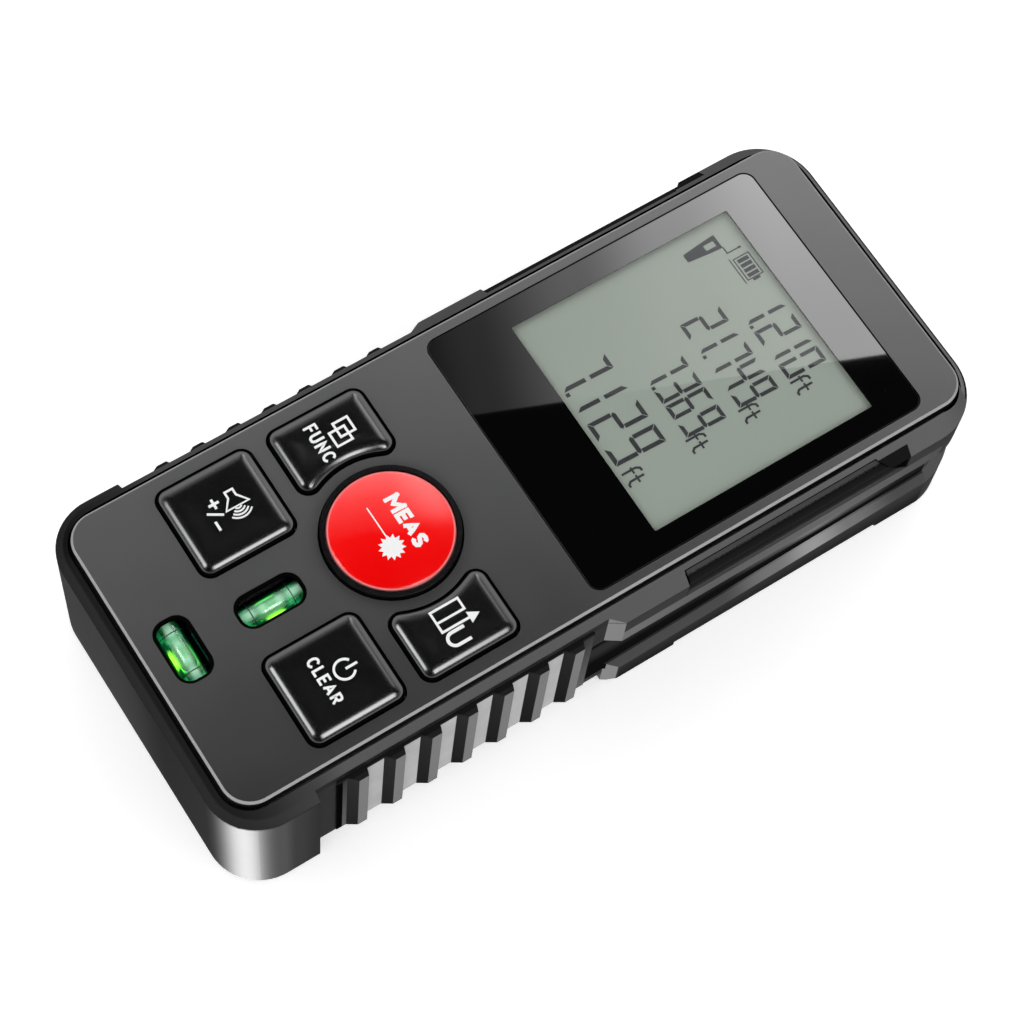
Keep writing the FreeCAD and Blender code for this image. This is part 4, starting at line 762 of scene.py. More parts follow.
# ======================================================================= mesh helpers
def add(name, bm, mat, body, smooth=True, angle=None):
    me = bpy.data.meshes.new(name)
    bmesh.ops.recalc_face_normals(bm, faces=bm.faces)
    bm.to_mesh(me)
    bm.free()
    o = bpy.data.objects.new(name, me)
    scene.collection.objects.link(o)
    for mt in (mat if isinstance(mat, (list, tuple)) else [mat]):
        me.materials.append(mt)
    if smooth:
        me.shade_smooth()
        if angle is not None:
            me.set_sharp_from_angle(angle=math.radians(angle))
    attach(o, body)
    return o


def prism(bm, pts, z0, z1, mi=0, top=None):
    """Closed prism from a plan outline (mm). top(x, y) may lift the upper and lower faces onto a surface."""
    n = len(pts)
    f = top or (lambda x, y: 0.0)
    lo_ = [bm.verts.new((x * MM, y * MM, (z0 + f(x, y)) * MM)) for x, y in pts]
    hi_ = [bm.verts.new((x * MM, y * MM, (z1 + f(x, y)) * MM)) for x, y in pts]
    fs = [bm.faces.new(hi_), bm.faces.new(lo_[::-1])]
    for i in range(n):
        j = (i + 1) % n
        fs.append(bm.faces.new((lo_[i], lo_[j], hi_[j], hi_[i])))
    for q in fs:
        q.material_index = mi
    return fs


def stroke(pts, w, closed=False, cap=0):
    """Outline pieces of a poly-line drawn with a pen of width w: one quad strip with mitred joints."""
    out = []
    P = [Vector(p) for p in pts]
    n = len(P)
    L, R = [], []
    for i in range(n):
        if closed:
            a, b, c = P[i - 1], P[i], P[(i + 1) % n]
            d1, d2 = (b - a).normalized(), (c - b).normalized()
        else:
            d1 = (P[i] - P[i - 1]).normalized() if i > 0 else (P[1] - P[0]).normalized()
            d2 = (P[i + 1] - P[i]).normalized() if i < n - 1 else d1
            if i == 0:
                d1 = d2
        n1, n2 = Vector((-d1.y, d1.x)), Vector((-d2.y, d2.x))
        mv = n1 + n2
        mv = mv.normalized() / max(0.72, mv.normalized().dot(n1)) if mv.length > 1e-6 else n1
        e = Vector((0, 0))
        if not closed and cap:
            e = -d2 * cap if i == 0 else (d1 * cap if i == n - 1 else e)
        L.append(P[i] + mv * w / 2 + e)
        R.append(P[i] - mv * w / 2 + e)
    m_ = n if closed else n - 1
    for i in range(m_):
        j = (i + 1) % n
        out.append([tuple(L[i]), tuple(R[i]), tuple(R[j]), tuple(L[j])])
    return L, R, out


def draw_stroke(bm, pts, w, z0, z1, closed=False, cap=0, top=None):
    """A closed solid ribbon following pts."""
    L, R, _ = stroke(pts, w, closed, cap)
    f = top or (lambda x, y: 0.0)
    n = len(L)

    def ring(p):
        return [bm.verts.new((p.x * MM, p.y * MM, (z + f(p.x, p.y)) * MM)) for z in (z0, z1)]
    l_, r_ = [ring(p) for p in L], [ring(p) for p in R]
    cnt = n if closed else n - 1
    for i in range(cnt):
        j = (i + 1) % n
        bm.faces.new((l_[i][1], r_[i][1], r_[j][1], l_[j][1]))
        bm.faces.new((l_[i][0], l_[j][0], r_[j][0], r_[i][0]))
        bm.faces.new((l_[i][0], l_[i][1], l_[j][1], l_[j][0]))
        bm.faces.new((r_[i][0], r_[j][0], r_[j][1], r_[i][1]))
    if not closed:
        bm.faces.new((l_[0][0], r_[0][0], r_[0][1], l_[0][1]))
        bm.faces.new((l_[-1][0], l_[-1][1], r_[-1][1], r_[-1][0]))


def arc(cx_, cy_, r, a0, a1, n=24):
    return [(cx_ + r * math.cos(math.radians(a0 + (a1 - a0) * i / n)),
             cy_ + r * math.sin(math.radians(a0 + (a1 - a0) * i / n))) for i in range(n + 1)]


def rrect(x0, x1, y0, y1, r, n=6):
    pts = []
    for cx_, cy_, a in ((x1 - r, y0 + r, -90), (x1 - r, y1 - r, 0), (x0 + r, y1 - r, 90), (x0 + r, y0 + r, 180)):
        pts += arc(cx_, cy_, r, a, a + 90, n)
    return pts


GLYPH = {
    "M": [[(0, 0), (0, 1)], [(0, 1), (.5, .34)], [(.5, .34), (1, 1)], [(1, 1), (1, 0)]], "E": [[(1, 1), (0, 1), (0, 0), (1, 0)], [(0, .5), (.85, .5)]],
    "A": [[(0, 0), (.5, 1), (1, 0)], [(.22, .32), (.78, .32)]],
    "S": [[(.95, .80), (.82, .94), (.5, 1), (.18, .94), (.04, .76), (.18, .58), (.5, .5), (.82, .42), (.96, .24), (.82, .06),
           (.5, 0), (.18, .06), (.04, .20)]],
    "F": [[(1, 1), (0, 1), (0, 0)], [(0, .5), (.85, .5)]],
    "U": [[(0, 1), (0, .3), (.1, .1), (.3, 0), (.7, 0), (.9, .1), (1, .3), (1, 1)]],
    "N": [[(0, 0), (0, 1), (1, 0), (1, 1)]], "L": [[(0, 1), (0, 0), (1, 0)]],
    "C": [[(1, .78), (.85, .93), (.55, 1), (.25, .93), (.06, .74), (0, .5), (.06, .26), (.25, .07), (.55, 0), (.85, .07),
           (1, .22)]],
    "R": [[(0, 0), (0, 1), (.62, 1), (.9, .93), (1, .74), (.9, .55), (.62, .48), (0, .48)], [(.5, .48), (1, 0)]]}
GWIDE = {"M": 1.30, "E": 0.80, "A": 1.06, "S": 0.90, "F": 0.78, "U": 0.95, "N": 0.98, "L": 0.75, "C": 0.98, "R": 0.92}


def lettering(bm, text, x0, x1, y0, y1, pen, gap, z0, z1, top=None):
    """Drawn capitals fitted to a box: each stroke a closed thin ribbon."""
    tot = sum(GWIDE[c] for c in text)
    free = (x1 - x0) - gap * (len(text) - 1)
    x = x0
    for c in text:
        w = free * GWIDE[c] / tot
        for k, line in enumerate(GLYPH[c]):
            pts = [(x + pen / 2 + u * (w - pen), y0 + pen / 2 + v * (y1 - y0 - pen)) for u, v in line]
            fine = [pts[0]]
            for p, q in zip(pts, pts[1:]):
                m_ = max(1, int(math.hypot(q[0] - p[0], q[1] - p[1]) / 0.7))
                fine += [(p[0] + (q[0] - p[0]) * i / m_, p[1] + (q[1] - p[1]) * i / m_) for i in range(1, m_ + 1)]
            draw_stroke(bm, fine, pen, z0, z1 + 0.002 * k, cap=pen / 2 if c in "MEFNLU" else 0.0, top=top)
        x += w + gap


# ======================================================================= keys
KX1, UP0, UP1, LO_X0, LO0, LO1, KR, ARC_R, MEAS_Y = 19.5, -26.6, -12.4, 5.95, -42.4, -28.6, 1.8, 10.4, -19.6
GAP, KEY_H = 0.28, 0.85


def key_sdf(x0, x1, y0, y1, r, bite):
    """Signed distance (mm) to a rounded key outline, negative inside; bite rounds off a circle about the measure key."""
    cx_, cy_, hx, hy = (x0 + x1) / 2, (y0 + y1) / 2, (x1 - x0) / 2, (y1 - y0) / 2

    def box_d(x, y, g):
        qx, qy = abs(x - cx_) - hx + g, abs(y - cy_) - hy + g
        return math.hypot(max(qx, 0), max(qy, 0)) + min(max(qx, qy), 0)

    R = bite + r
    bx0, bx1, by0, by1 = x0 + r, x1 - r, y0 + r, y1 - r
    tips = []
    if bite:
        for yy in (by0, by1):
            q = R * R - (yy - MEAS_Y) ** 2
            if q > 0:
                tips += [(sx_ * math.sqrt(q), yy) for sx_ in (-1, 1) if bx0 <= sx_ * math.sqrt(q) <= bx1]
        for xx in (bx0, bx1):
            q = R * R - xx * xx
            if q > 0:
                tips += [(xx, MEAS_Y + sy_ * math.sqrt(q)) for sy_ in (-1, 1) if by0 <= MEAS_Y + sy_ * math.sqrt(q) <= by1]

    def d(x, y):
        a = box_d(x, y, r)
        if not bite:
            return a - r
        h_ = max(1e-6, math.hypot(x, y - MEAS_Y))
        b = R - h_
        if a <= 0 and b <= 0:
            return max(a, b) - r
        cand = [math.hypot(x - tx, y - ty) for tx, ty in tips]
        qx, qy = min(max(x, bx0), bx1), min(max(y, by0), by1)
        if math.hypot(qx, qy - MEAS_Y) >= R - 1e-9:
            cand.append(math.hypot(x - qx, y - qy))
        qx, qy = x * R / h_, MEAS_Y + (y - MEAS_Y) * R / h_
        if bx0 <= qx <= bx1 and by0 <= qy <= by1:
            cand.append(abs(b))
        return min(cand) - r
    return d


def key_piece(name, x0, x1, y0, y1, bite, centre, body):
    d = key_sdf(x0 + GAP, x1 - GAP, y0 + GAP, y1 - GAP, KR - GAP, bite + GAP if bite else 0)
    NA = 144
    cx_, cy_ = centre

    def hit(a, level):
        dx, dy = math.cos(a), math.sin(a)
        lo_, hi_ = 0.0, 14.0
        for _ in range(34):
            mid = (lo_ + hi_) / 2
            if d(cx_ + dx * mid, cy_ + dy * mid) < level:
                lo_ = mid
            else:
                hi_ = mid
        return lo_
    # profile: (inset from the wall, height above the face)
    crown, rise = 1.90, 0.84
    prof = [(0.0, -1.6), (0.0, KEY_H - rise - 0.02)]
    NC = 18
    for i in range(1, NC + 1):
        t = math.radians(90 * i / NC)
        prof.append((crown * (1 - math.cos(t)), KEY_H - rise + (rise - 0.06) * math.sin(t)))
    bm = bmesh.new()
    rings = []
    angs = [2 * math.pi * i / NA for i in range(NA)]
    for inset, h in prof:
        rings.append([bm.verts.new(((cx_ + math.cos(a) * s) * MM, (cy_ + math.sin(a) * s) * MM, (FACE + h) * MM))
                      for a, s in ((a, hit(a, -inset)) for a in angs)])
    # shallow dish in the middle of the key, following the outline
    for ins in (0.25, 0.55, 0.9, 1.3, 1.8, 2.4):
        dip = 0.105 * (1 - math.exp(-(ins / 1.5) ** 2))
        rings.append([bm.verts.new(((cx_ + math.cos(a) * q_) * MM, (cy_ + math.sin(a) * q_) * MM, (FACE + KEY_H - 0.06 - dip) * MM))
                      for a, q_ in ((a, hit(a, -ins - crown)) for a in angs)])
    for k, (r0, r1) in enumerate(zip(rings, rings[1:])):
        for i in range(NA):
            j = (i + 1) % NA
            bm.faces.new((r0[i], r0[j], r1[j], r1[i])).material_index = 1 if k < 7 else 0
    mid = bm.verts.new((cx_ * MM, cy_ * MM, (FACE + KEY_H - 0.06 - 0.105) * MM))
    bot = bm.verts.new((cx_ * MM, cy_ * MM, (FACE - 1.6) * MM))
    for i in range(NA):
        j = (i + 1) % NA
        bm.faces.new((rings[-1][i], rings[-1][j], mid))
        bm.faces.new((rings[0][j], rings[0][i], bot))
    # flange under the plate
    fl = [[bm.verts.new(((cx_ + math.cos(a) * s) * MM, (cy_ + math.sin(a) * s) * MM, z * MM))
           for a, s in ((a, hit(a, lvl)) for a in angs)]
          for lvl, z in ((-0.6, 21.9), (0.55, 21.9), (0.55, 22.5), (-0.6, 22.5))]
    for k in range(4):
        r0, r1 = fl[k], fl[(k + 1) % 4]
        for i in range(NA):
            j = (i + 1) % NA
            bm.faces.new((r0[i], r0[j], r1[j], r1[i]))
    # stem down to the switch
    sx, sy = {"func": (-14.2, -19.5), "area": (14.2, -19.5), "sound": (-12.7, -35.5), "clear": (12.7, -35.5)}[name]
    st = arc(sx, sy, 1.6, 0, 360 - 15, 23)
    prism(bm, st, 19.72, 23.1)
    o = add(name + "_key_cap", bm, [M["key"], M["key_skirt"]], body, angle=40)
    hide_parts(name + "_key")
    return o


key_piece("func", -KX1, -4.0, UP0, UP1, ARC_R, (-13.6, -19.0), "func_key")
key_piece("area", 4.0, KX1, UP0, UP1, ARC_R, (13.6, -19.0), "area_key")
key_piece("sound", -KX1, -LO_X0, LO0, LO1, 0, (-12.7, -35.5), "sound_key")
key_piece("clear", LO_X0, KX1, LO0, LO1, 0, (12.7, -35.5), "clear_key")
KT0, KT1 = FACE + KEY_H - 0.20, FACE + KEY_H - 0.035   # legends sit in the dished key tops

# ---- legends: function key (two overlapping squares, FUNC)
bm = bmesh.new()
draw_stroke(bm, [(-16.0, -18.25), (-13.95, -18.25), (-13.95, -16.2), (-16.0, -16.2)], 0.30, KT0, KT1, closed=True)
draw_stroke(bm, [(-15.1, -19.3), (-13.0, -19.3), (-13.0, -17.15), (-15.1, -17.15)], 0.30, KT0, KT1 + 0.002, closed=True)
lettering(bm, "FUNC", -17.3, -11.8, -21.85, -20.05, 0.32, 0.34, KT0, KT1)
add("func_legend", bm, M["print"], "func_key", smooth=False)
# ---- area / unit key: rectangle, second bar, arrow, U
bm = bmesh.new()
draw_stroke(bm, [(11.75, -21.4), (13.35, -21.4), (13.35, -17.45), (11.75, -17.45)], 0.30, KT0, KT1, closed=True)
draw_stroke(bm, [(13.35, -21.4), (14.65, -21.4), (14.65, -17.3)], 0.30, KT0, KT1 + 0.002, cap=0.0)
prism(bm, [(13.85, -17.55), (15.45, -17.55), (14.65, -16.1)], KT0, KT1 + 0.004)
draw_stroke(bm, [(15.2, -18.7), (15.2, -20.5)] + arc(16.1, -20.5, 0.9, 180, 360, 14)[1:] + [(17.0, -18.7)],
            0.42, KT0, KT1, cap=0.0)
add("area_legend", bm, M["print"], "area_key", smooth=False)
# ---- sound key: loudspeaker, arcs, plus and minus
bm = bmesh.new()
draw_stroke(bm, [(-14.85, -34.45), (-13.95, -34.45), (-12.55, -35.5), (-12.55, -32.3), (-13.95, -33.35), (-14.85, -33.35)],
            0.26, KT0, KT1, closed=True)
for r in (0.55, 0.98, 1.42, 1.86):
    draw_stroke(bm, arc(-12.75, -33.9, r, -48, 48, 12), 0.20, KT0, KT1, cap=0.02)
draw_stroke(bm, [(-14.9, -36.35), (-13.5, -36.35)], 0.32, KT0, KT1)
draw_stroke(bm, [(-14.2, -35.65), (-14.2, -37.05)], 0.32, KT0, KT1 + 0.002)
draw_stroke(bm, [(-13.45, -37.75), (-12.35, -35.95)], 0.28, KT0, KT1)
draw_stroke(bm, [(-12.05, -37.35), (-10.75, -37.35)], 0.32, KT0, KT1)
add("sound_legend", bm, M["print"], "sound_key", smooth=False)
# ---- clear key: power sign, CLEAR
bm = bmesh.new()
draw_stroke(bm, arc(12.5, -33.9, 1.30, 125, 415, 36), 0.30, KT0, KT1)
draw_stroke(bm, [(12.5, -33.75), (12.5, -32.15)], 0.30, KT0, KT1)
lettering(bm, "CLEAR", 9.25, 15.75, -37.5, -35.85, 0.30, 0.30, KT0, KT1)
add("clear_legend", bm, M["print"], "clear_key", smooth=False)

# ======================================================================= measure key
CAP_R, CAP_TOP, DOME = 8.1, 1.55, 46.0


def cap_z(x, y):
    rr = x * x + (y - MEAS_Y) ** 2
    return FACE + CAP_TOP - DOME + math.sqrt(DOME * DOME - rr)


def lathe(bm, prof, cx_, cy_, n=128, mi=0):
    """Closed surface of revolution about a vertical axis from (radius, z) pairs in mm."""
    rings = []
    for r, z in prof:
        if r <= 1e-6:
            rings.append([bm.verts.new((cx_ * MM, cy_ * MM, z * MM))])
        else:
            rings.append([bm.verts.new(((cx_ + r * math.cos(2 * math.pi * i / n)) * MM,
                                        (cy_ + r * math.sin(2 * math.pi * i / n)) * MM, z * MM)) for i in range(n)])
    for a, b in zip(rings, rings[1:]):
        for i in range(n):
            j = (i + 1) % n
            if len(a) == 1:
                f = bm.faces.new((a[0], b[i], b[j]))
            elif len(b) == 1:
                f = bm.faces.new((a[i], a[j], b[0]))
            else:
                f = bm.faces.new((a[i], a[j], b[j], b[i]))
            f.material_index = mi


bm = bmesh.new()
ROLL = 0.62
zr = cap_z(CAP_R - ROLL, MEAS_Y)
prof = [(0, FACE + 0.22), (CAP_R, FACE + 0.22), (CAP_R, zr - ROLL * 0.92)]
for i in range(1, 11):
    t = math.radians(82 * i / 10)
    prof.append((CAP_R - ROLL * (1 - math.cos(t)), zr - ROLL * 0.92 + ROLL * 0.92 * math.sin(t) / math.sin(math.radians(82))))
r1 = prof[-1][0]
for i in range(1, 15):
    r = r1 * (1 - i / 14)
    prof.append((r, FACE + CAP_TOP - DOME + math.sqrt(DOME * DOME - r * r)) if i < 14 else (0, FACE + CAP_TOP))
lathe(bm, prof, 0, MEAS_Y, 160)
o = add("measure_cap_gloss", bm, M["red_key"], "measure_key", angle=50)
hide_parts("measure_cap")


def on_cap(x, y):
    return cap_z(x, y)


bm = bmesh.new()
PR0, PR1 = -0.06, 0.018
lettering(bm, "MEAS", -3.8, 3.95, -18.5, -16.35, 0.55, 0.16, PR0, PR1, top=on_cap)
pts = [(-3.85 + 4.8 * i / 8, -20.75) for i in range(9)]
draw_stroke(bm, pts, 0.17, PR0, PR1, top=on_cap)
star = []
for i in range(26):
    r = 1.74 if i % 2 == 0 else 1.22
    a = 2 * math.pi * i / 26 + 0.12
    star.append((2.2 + r * math.cos(a), -20.85 + r * math.sin(a)))
zc = [bm.verts.new((2.2 * MM, -20.85 * MM, (cap_z(2.2, -20.85) + q) * MM)) for q in (PR0, PR1)]
sl = [[bm.verts.new((x * MM, y * MM, (cap_z(x, y) + q) * MM)) for x, y in star] for q in (PR0, PR1)]
for i in range(26):
    j = (i + 1) % 26
    bm.faces.new((zc[1], sl[1][i], sl[1][j]))
    bm.faces.new((zc[0], sl[0][j], sl[0][i]))
    bm.faces.new((sl[0][i], sl[0][j], sl[1][j], sl[1][i]))
add("measure_legend", bm, M["print"], "measure_key", smooth=False)

# ======================================================================= display
def blank_film():
    m = bpy.data.materials.new("lens_under_face")
    m.use_nodes = True
    t = m.node_tree
    t.nodes.clear()
    a_, o_ = t.nodes.new("ShaderNodeBsdfTransparent"), t.nodes.new("ShaderNodeOutputMaterial")
    t.links.new(a_.outputs[0], o_.inputs[0])
    return m


M["lens_edge"] = gloss("lens_edge_black", (0.0015, 0.0015, 0.0016), 0.3)
bm = bmesh.new()
rings = []
for e, z in ((0.0, 23.87), (0.0, 24.49), (0.02, 24.53), (0.06, 24.55)):
    rings.append([bm.verts.new((x * MM, y * MM, z * MM)) for x, y in rrect(-19.85 + e, 19.85 - e, -2.5 + e, 47.65 - e, 1.6 - e, 12)])
m_ = len(rings[0])
for r0, r1_ in zip(rings, rings[1:]):
    for i in range(m_):
        j = (i + 1) % m_
        bm.faces.new((r0[i], r0[j], r1_[j], r1_[i])).material_index = 2
bm.faces.new(rings[-1]).material_index = 0
bm.faces.new(rings[0][::-1]).material_index = 1
o = add("display_window", bm, [M["lens"], blank_film(), M["lens_edge"]], "housing", smooth=False)
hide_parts("display_lens")
# gloss black ink fired on the border of the lens; its opening lies over the mask's, shifted by the slant of sight over the keys
bm = bmesh.new()
outer = rrect(-19.79, 19.79, -2.44, 47.59, 1.54, 12)
hole = rrect(-16.5 + 0.25, 16.5 + 0.25, 8.6 - 0.19, 42.0 - 0.19, 0.25, 12)
R4 = [[bm.verts.new((x * MM, y * MM, z * MM)) for x, y in q] for q, z in ((outer, 24.551), (outer, 24.560), (hole, 24.560), (hole, 24.551))]
for k in range(4):
    r0, r1_ = R4[k], R4[(k + 1) % 4]
    for i in range(len(outer)):
        j = (i + 1) % len(outer)
        bm.faces.new((r0[i], r0[j], r1_[j], r1_[i]))
o = add("display_border", bm, mask_material("mask_rim", 2.48), "housing", smooth=False)
o.visible_shadow = False
o.visible_diffuse = False
b0, b1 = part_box("lcd_panel")
LCD_TOP = b1.z / MM
S0, S1 = LCD_TOP - 0.02, LCD_TOP + 0.03
SEGS = {"0": "abcdef", "1": "bc", "2": "abged", "3": "abgcd", "4": "fgbc", "5": "afgcd", "6": "afgedc", "7": "abc",
        "8": "abcdefg", "9": "abcdfg"}


def digit(bm, ch, x0, x1, y0, y1, w, slant):
    """Seven-segment figure in a box, leaning by slant (x per y)."""
    g = 0.07
    ym = (y0 + y1) / 2

    def P(x, y):
        return (x + slant * (y - y0), y)

    def hseg(y, side):
        a = w * 0.55
        if side == "t":
            q = [(x0 + g, y1), (x1 - g, y1), (x1 - g - w, y1 - w), (x0 + g + w, y1 - w)]
        elif side == "b":
            q = [(x0 + g + w, y0 + w), (x1 - g - w, y0 + w), (x1 - g, y0), (x0 + g, y0)]
        else:
            q = [(x0 + g + a, ym + w / 2), (x1 - g - a, ym + w / 2), (x1 - g, ym), (x1 - g - a, ym - w / 2),
                 (x0 + g + a, ym - w / 2), (x0 + g, ym)]
        return [P(*p) for p in q]

    def vseg(x, s, lo_, hi_, outer_lo, outer_hi):
        # s = +1: right side, -1: left side
        xo, xi = x, x - s * w
        q = [(xo, lo_ + (g if outer_lo else w * 0.5 + g)), (xo, hi_ - (g if outer_hi else w * 0.5 + g)),
             (xi, hi_ - (w + g if outer_hi else w * 0.5 + g)), (xi, lo_ + (w + g if outer_lo else w * 0.5 + g))]
        return [P(*p) for p in q]
    shapes = {"a": hseg(y1, "t"), "d": hseg(y0, "b"), "g": hseg(ym, "m"),
              "b": vseg(x1, 1, ym, y1, False, True), "c": vseg(x1, 1, y0, ym, True, False),
              "f": vseg(x0, -1, ym, y1, False, True), "e": vseg(x0, -1, y0, ym, True, False)}
    for s in SEGS[ch]:
        prism(bm, shapes[s], S0, S1)


def dot(bm, x, y, s):
    prism(bm, [(x, y), (x + s, y), (x + s, y + s), (x, y + s)], S0, S1)


def line_of(bm, cells, y0, y1, w, slant, dots, ft):
    for ch, x0, x1 in cells:
        digit(bm, ch, x0, x1, y0, y1, w, slant)
    for x in dots:
        dot(bm, x, y0, w * 0.9)
    fx, fy, s = ft
    # small "ft"
    draw_stroke(bm, [(fx, fy), (fx, fy + 2.05 * s), (fx + 0.28 * s, fy + 2.55 * s), (fx + 0.75 * s, fy + 2.6 * s)], 0.30, S0, S1)
    draw_stroke(bm, [(fx - 0.35 * s, fy + 1.5 * s), (fx + 0.6 * s, fy + 1.5 * s)], 0.26, S0, S1 + 0.002)
    draw_stroke(bm, [(fx + 1.3 * s, fy + 2.5 * s), (fx + 1.3 * s, fy + 0.45 * s), (fx + 1.6 * s, fy + 0.08 * s),
                     (fx + 2.0 * s, fy + 0.08 * s)], 0.30, S0, S1)
    draw_stroke(bm, [(fx + 0.85 * s, fy + 1.5 * s), (fx + 1.95 * s, fy + 1.5 * s)], 0.26, S0, S1 + 0.002)


DX, DY = -0.42, 0.45   # the printed layer lies under the lens


def sh(cells):
    return [(c, a + DX, b + DX) for c, a, b in cells]


bm = bmesh.new()
line_of(bm, sh([("1", -2.6, -0.9), ("2", 0.3, 2.7), ("1", 3.2, 5.0), ("0", 5.8, 8.2)]), 34.7 + DY, 40.6 + DY, 0.52, 0.03,
        [-0.65 + DX], (8.75 + DX, 34.6 + DY, 1.0))
line_of(bm, sh([("2", -5.4, -2.9), ("1", -2.3, -0.6), ("7", 0.5, 2.6), ("4", 3.2, 5.5), ("9", 6.1, 8.3)]), 27.05 + DY, 33.0 + DY,
        0.52, 0.03, [-0.2 + DX], (8.6 + DX, 26.6 + DY, 1.0))
line_of(bm, sh([("7", -2.0, -0.2), ("3", 0.7, 2.8), ("6", 3.2, 5.4), ("9", 6.1, 8.3)]), 18.95 + DY, 24.9 + DY, 0.52, 0.03,
        [0.1 + DX], (8.6 + DX, 18.5 + DY, 1.0))
line_of(bm, sh([("7", -7.3, -5.0), ("1", -3.7, -1.7), ("2", 0.2, 3.0), ("9", 4.2, 7.0)]), 9.05 + DY, 16.5 + DY, 0.60, 0.03,
        [-4.75 + DX], (8.3 + DX, 9.0 + DY, 1.0))
# instrument icon: body with a small screen, beam and dot
ic = [(-13.65, 33.2), (-12.45, 33.2), (-11.95, 38.3), (-14.15, 38.3)]
prism(bm, [(x + DX, y + DY) for x, y in [(-13.65, 33.2), (-12.45, 33.2), (-12.12, 36.2), (-13.98, 36.2)]], S0, S1)
prism(bm, [(x + DX, y + DY) for x, y in [(-13.98, 36.2), (-13.45, 36.2), (-13.45, 38.3), (-14.15, 38.3)]], S0, S1)
prism(bm, [(x + DX, y + DY) for x, y in [(-12.6, 36.2), (-12.12, 36.2), (-11.95, 38.3), (-12.6, 38.3)]], S0, S1)
prism(bm, [(x + DX, y + DY) for x, y in [(-13.45, 37.75), (-12.6, 37.75), (-12.6, 38.3), (-13.45, 38.3)]], S0, S1)
draw_stroke(bm, [(x + DX, y + DY) for x, y in [(-12.0, 38.35), (-10.95, 38.35), (-10.95, 40.1)]], 0.16, S0, S1)
dot(bm, -11.1 + DX, 40.1 + DY, 0.32)
# battery icon: frame, bars, nub
draw_stroke(bm, [(x + DX, y + DY) for x, y in [(-9.75, 38.45), (-6.3, 38.45), (-6.3, 40.8), (-9.75, 40.8)]], 0.15, S0, S1, closed=True)
for i in range(4):
    x = -9.45 + 0.78 * i + DX
    prism(bm, [(x, 38.8 + DY), (x + 0.55, 38.8 + DY), (x + 0.55, 40.45 + DY), (x, 40.45 + DY)], S0, S1)
prism(bm, [(x + DX, y + DY) for x, y in [(-6.2, 39.1), (-5.85, 39.1), (-5.85, 40.15), (-6.2, 40.15)]], S0, S1)
draw_stroke(bm, [(x + DX, y + DY) for x, y in [(-10.1, 38.0), (-6.0, 38.0)]], 0.13, S0, S1)
add("lcd_segments", bm, M["segment"], "housing", smooth=False)

# ======================================================================= level vials
VR, VB, VZ, VL, LONG_Y, CROSS_Y = 2.1, 1.55, 21.95, 10.2, -36.8, -48.9


def tube(bm, prof, axis, c, n=48, mi=0):
    """Revolve (radius, station) pairs about a horizontal axis through the vial centre."""
    rings = []
    for r, s in prof:
        row_ = []
        for i in range(1 if r <= 1e-6 else n):
            a = 2 * math.pi * i / n
            u, w = r * math.cos(a), VZ_OFF + r * math.sin(a)
            p = (u, c + s, w) if axis == "y" else (s, c + u, w)
            row_.append(bm.verts.new((p[0] * MM, p[1] * MM, p[2] * MM)))
        rings.append(row_)
    for a, b in zip(rings, rings[1:]):
        for i in range(n):
            j = (i + 1) % n
            if len(a) == 1:
                f = bm.faces.new((a[0], b[i], b[j]))
            elif len(b) == 1:
                f = bm.faces.new((a[i], a[j], b[0]))
            else:
                f = bm.faces.new((a[i], a[j], b[j], b[i]))
            f.material_index = mi


